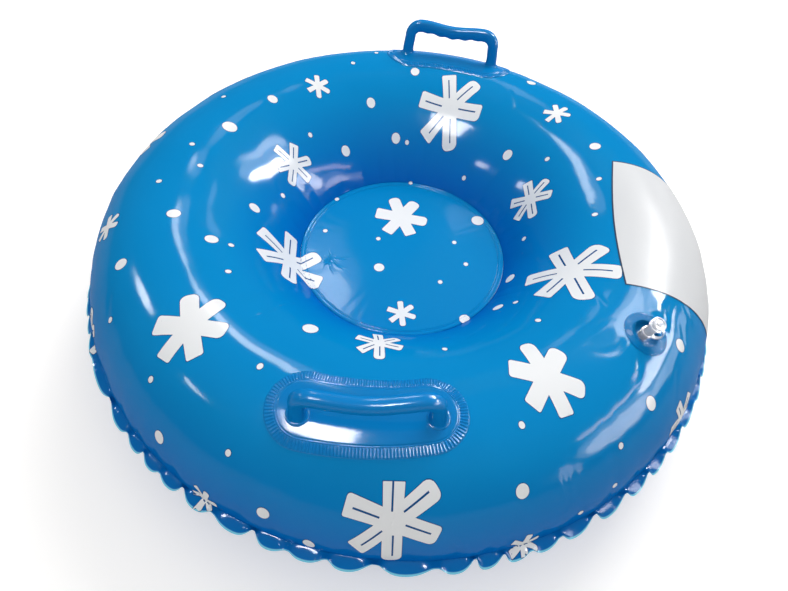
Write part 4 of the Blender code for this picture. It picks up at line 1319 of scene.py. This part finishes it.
def make_lamp(mirrored, name, azimuth, elevation, wide, high, level, shape="RECTANGLE", roll=0,
              colour=(1, 1, 1)):
    """Softbox at a direction from the tube's middle, which shows either in gloss or not at all."""
    target = Vector((0, 0, 0.2))
    azimuth, elevation = math.radians(azimuth), math.radians(elevation)
    way = Vector((math.cos(azimuth) * math.cos(elevation), math.sin(azimuth) * math.cos(elevation),
                  math.sin(elevation)))
    data = bpy.data.lights.new(name, "AREA")
    data.shape = shape
    data.size = 2 * LAMP_DISTANCE * math.tan(math.radians(wide) / 2)
    data.size_y = 2 * LAMP_DISTANCE * math.tan(math.radians(high) / 2)
    data.energy = level * math.pi * data.size * data.size_y * (math.pi / 4 if shape == "ELLIPSE" else 1)
    data.color = colour
    lamp = bpy.data.objects.new(name, data)
    lamp.location = target + way * LAMP_DISTANCE
    facing = way.to_track_quat("Z", "Y").to_matrix()
    lamp.rotation_euler = (facing @ Matrix.Rotation(math.radians(roll), 3, "Z")).to_euler()
    lamp.visible_diffuse = not mirrored
    lamp.visible_glossy = mirrored
    bpy.context.scene.collection.objects.link(lamp)


def pale_for_view(tree, strength):
    """Light Path mask of camera, glossy and transmission rays, times a strength."""
    path = tree.nodes.new("ShaderNodeLightPath")
    total = path.outputs["Is Camera Ray"]
    for ray in ("Is Glossy Ray", "Is Transmission Ray"):
        total = joined(tree, "MAXIMUM", total, path.outputs[ray])
    return joined(tree, "MULTIPLY", total, strength)


def make_studio():
    """Pale floor that keeps the shadow, pale to the camera and in gloss, under a plain pale room."""
    world = bpy.data.worlds.new("room")
    world.use_nodes = True
    set_inputs(world.node_tree.nodes["Background"], {"Color": (0.98, 0.99, 1.0, 1), "Strength": ROOM_LEVEL})
    bpy.context.scene.world = world
    finish = bpy.data.materials.new("pale_floor")
    finish.use_nodes = True
    tree = finish.node_tree
    shader = tree.nodes["Principled BSDF"]
    set_inputs(shader, {"Base Color": (0.86, 0.84, 0.81, 1), "Roughness": 0.7, "Specular IOR Level": 0.0,
                        "Emission Color": (1, 1, 1, 1)})
    tree.links.new(pale_for_view(tree, FLOOR_GLOW), shader.inputs["Emission Strength"])
    mesh = bpy.data.meshes.new("pale_floor")
    corners = [(x * STAGE_REACH, y * STAGE_REACH, 0) for x, y in ((-1, -1), (1, -1), (1, 1), (-1, 1))]
    mesh.from_pydata(corners, [], [(0, 1, 2, 3)])
    mesh.materials.append(finish)
    floor = bpy.data.objects.new("pale_floor", mesh)
    bpy.context.scene.collection.objects.link(floor)
    for row in SOFT_LAMPS:
        make_lamp(False, *row)
    for row in GLOSS_LAMPS:
        make_lamp(True, *row)


def build():
    """The whole scene, piece by piece."""
    make_camera()
    make_studio()
    make_film("upper_film_skin", 1, "upper_film")
    make_film("lower_film_skin", -1, "lower_film")
    make_margin()
    make_ring_weld()
    make_floor("upper_floor_layer", 1, "seat_floor_upper")
    make_floor("lower_floor_layer", -1, "seat_floor_lower")
    make_print("print_outlines", print_shapes(OUTLINE_WIDTH, False), FILM_LIFT["outline"], KEY)
    make_print("white_print", print_shapes(0, True), FILM_LIFT["print"], INK)
    make_panel()
    for side in HANDLES:
        make_plate(side)
        make_foot_rims(side)
        make_grip(side)
    make_valve()
    bpy.context.scene.view_settings.view_transform = "Standard"


build()
bpy.context.view_layer.update()
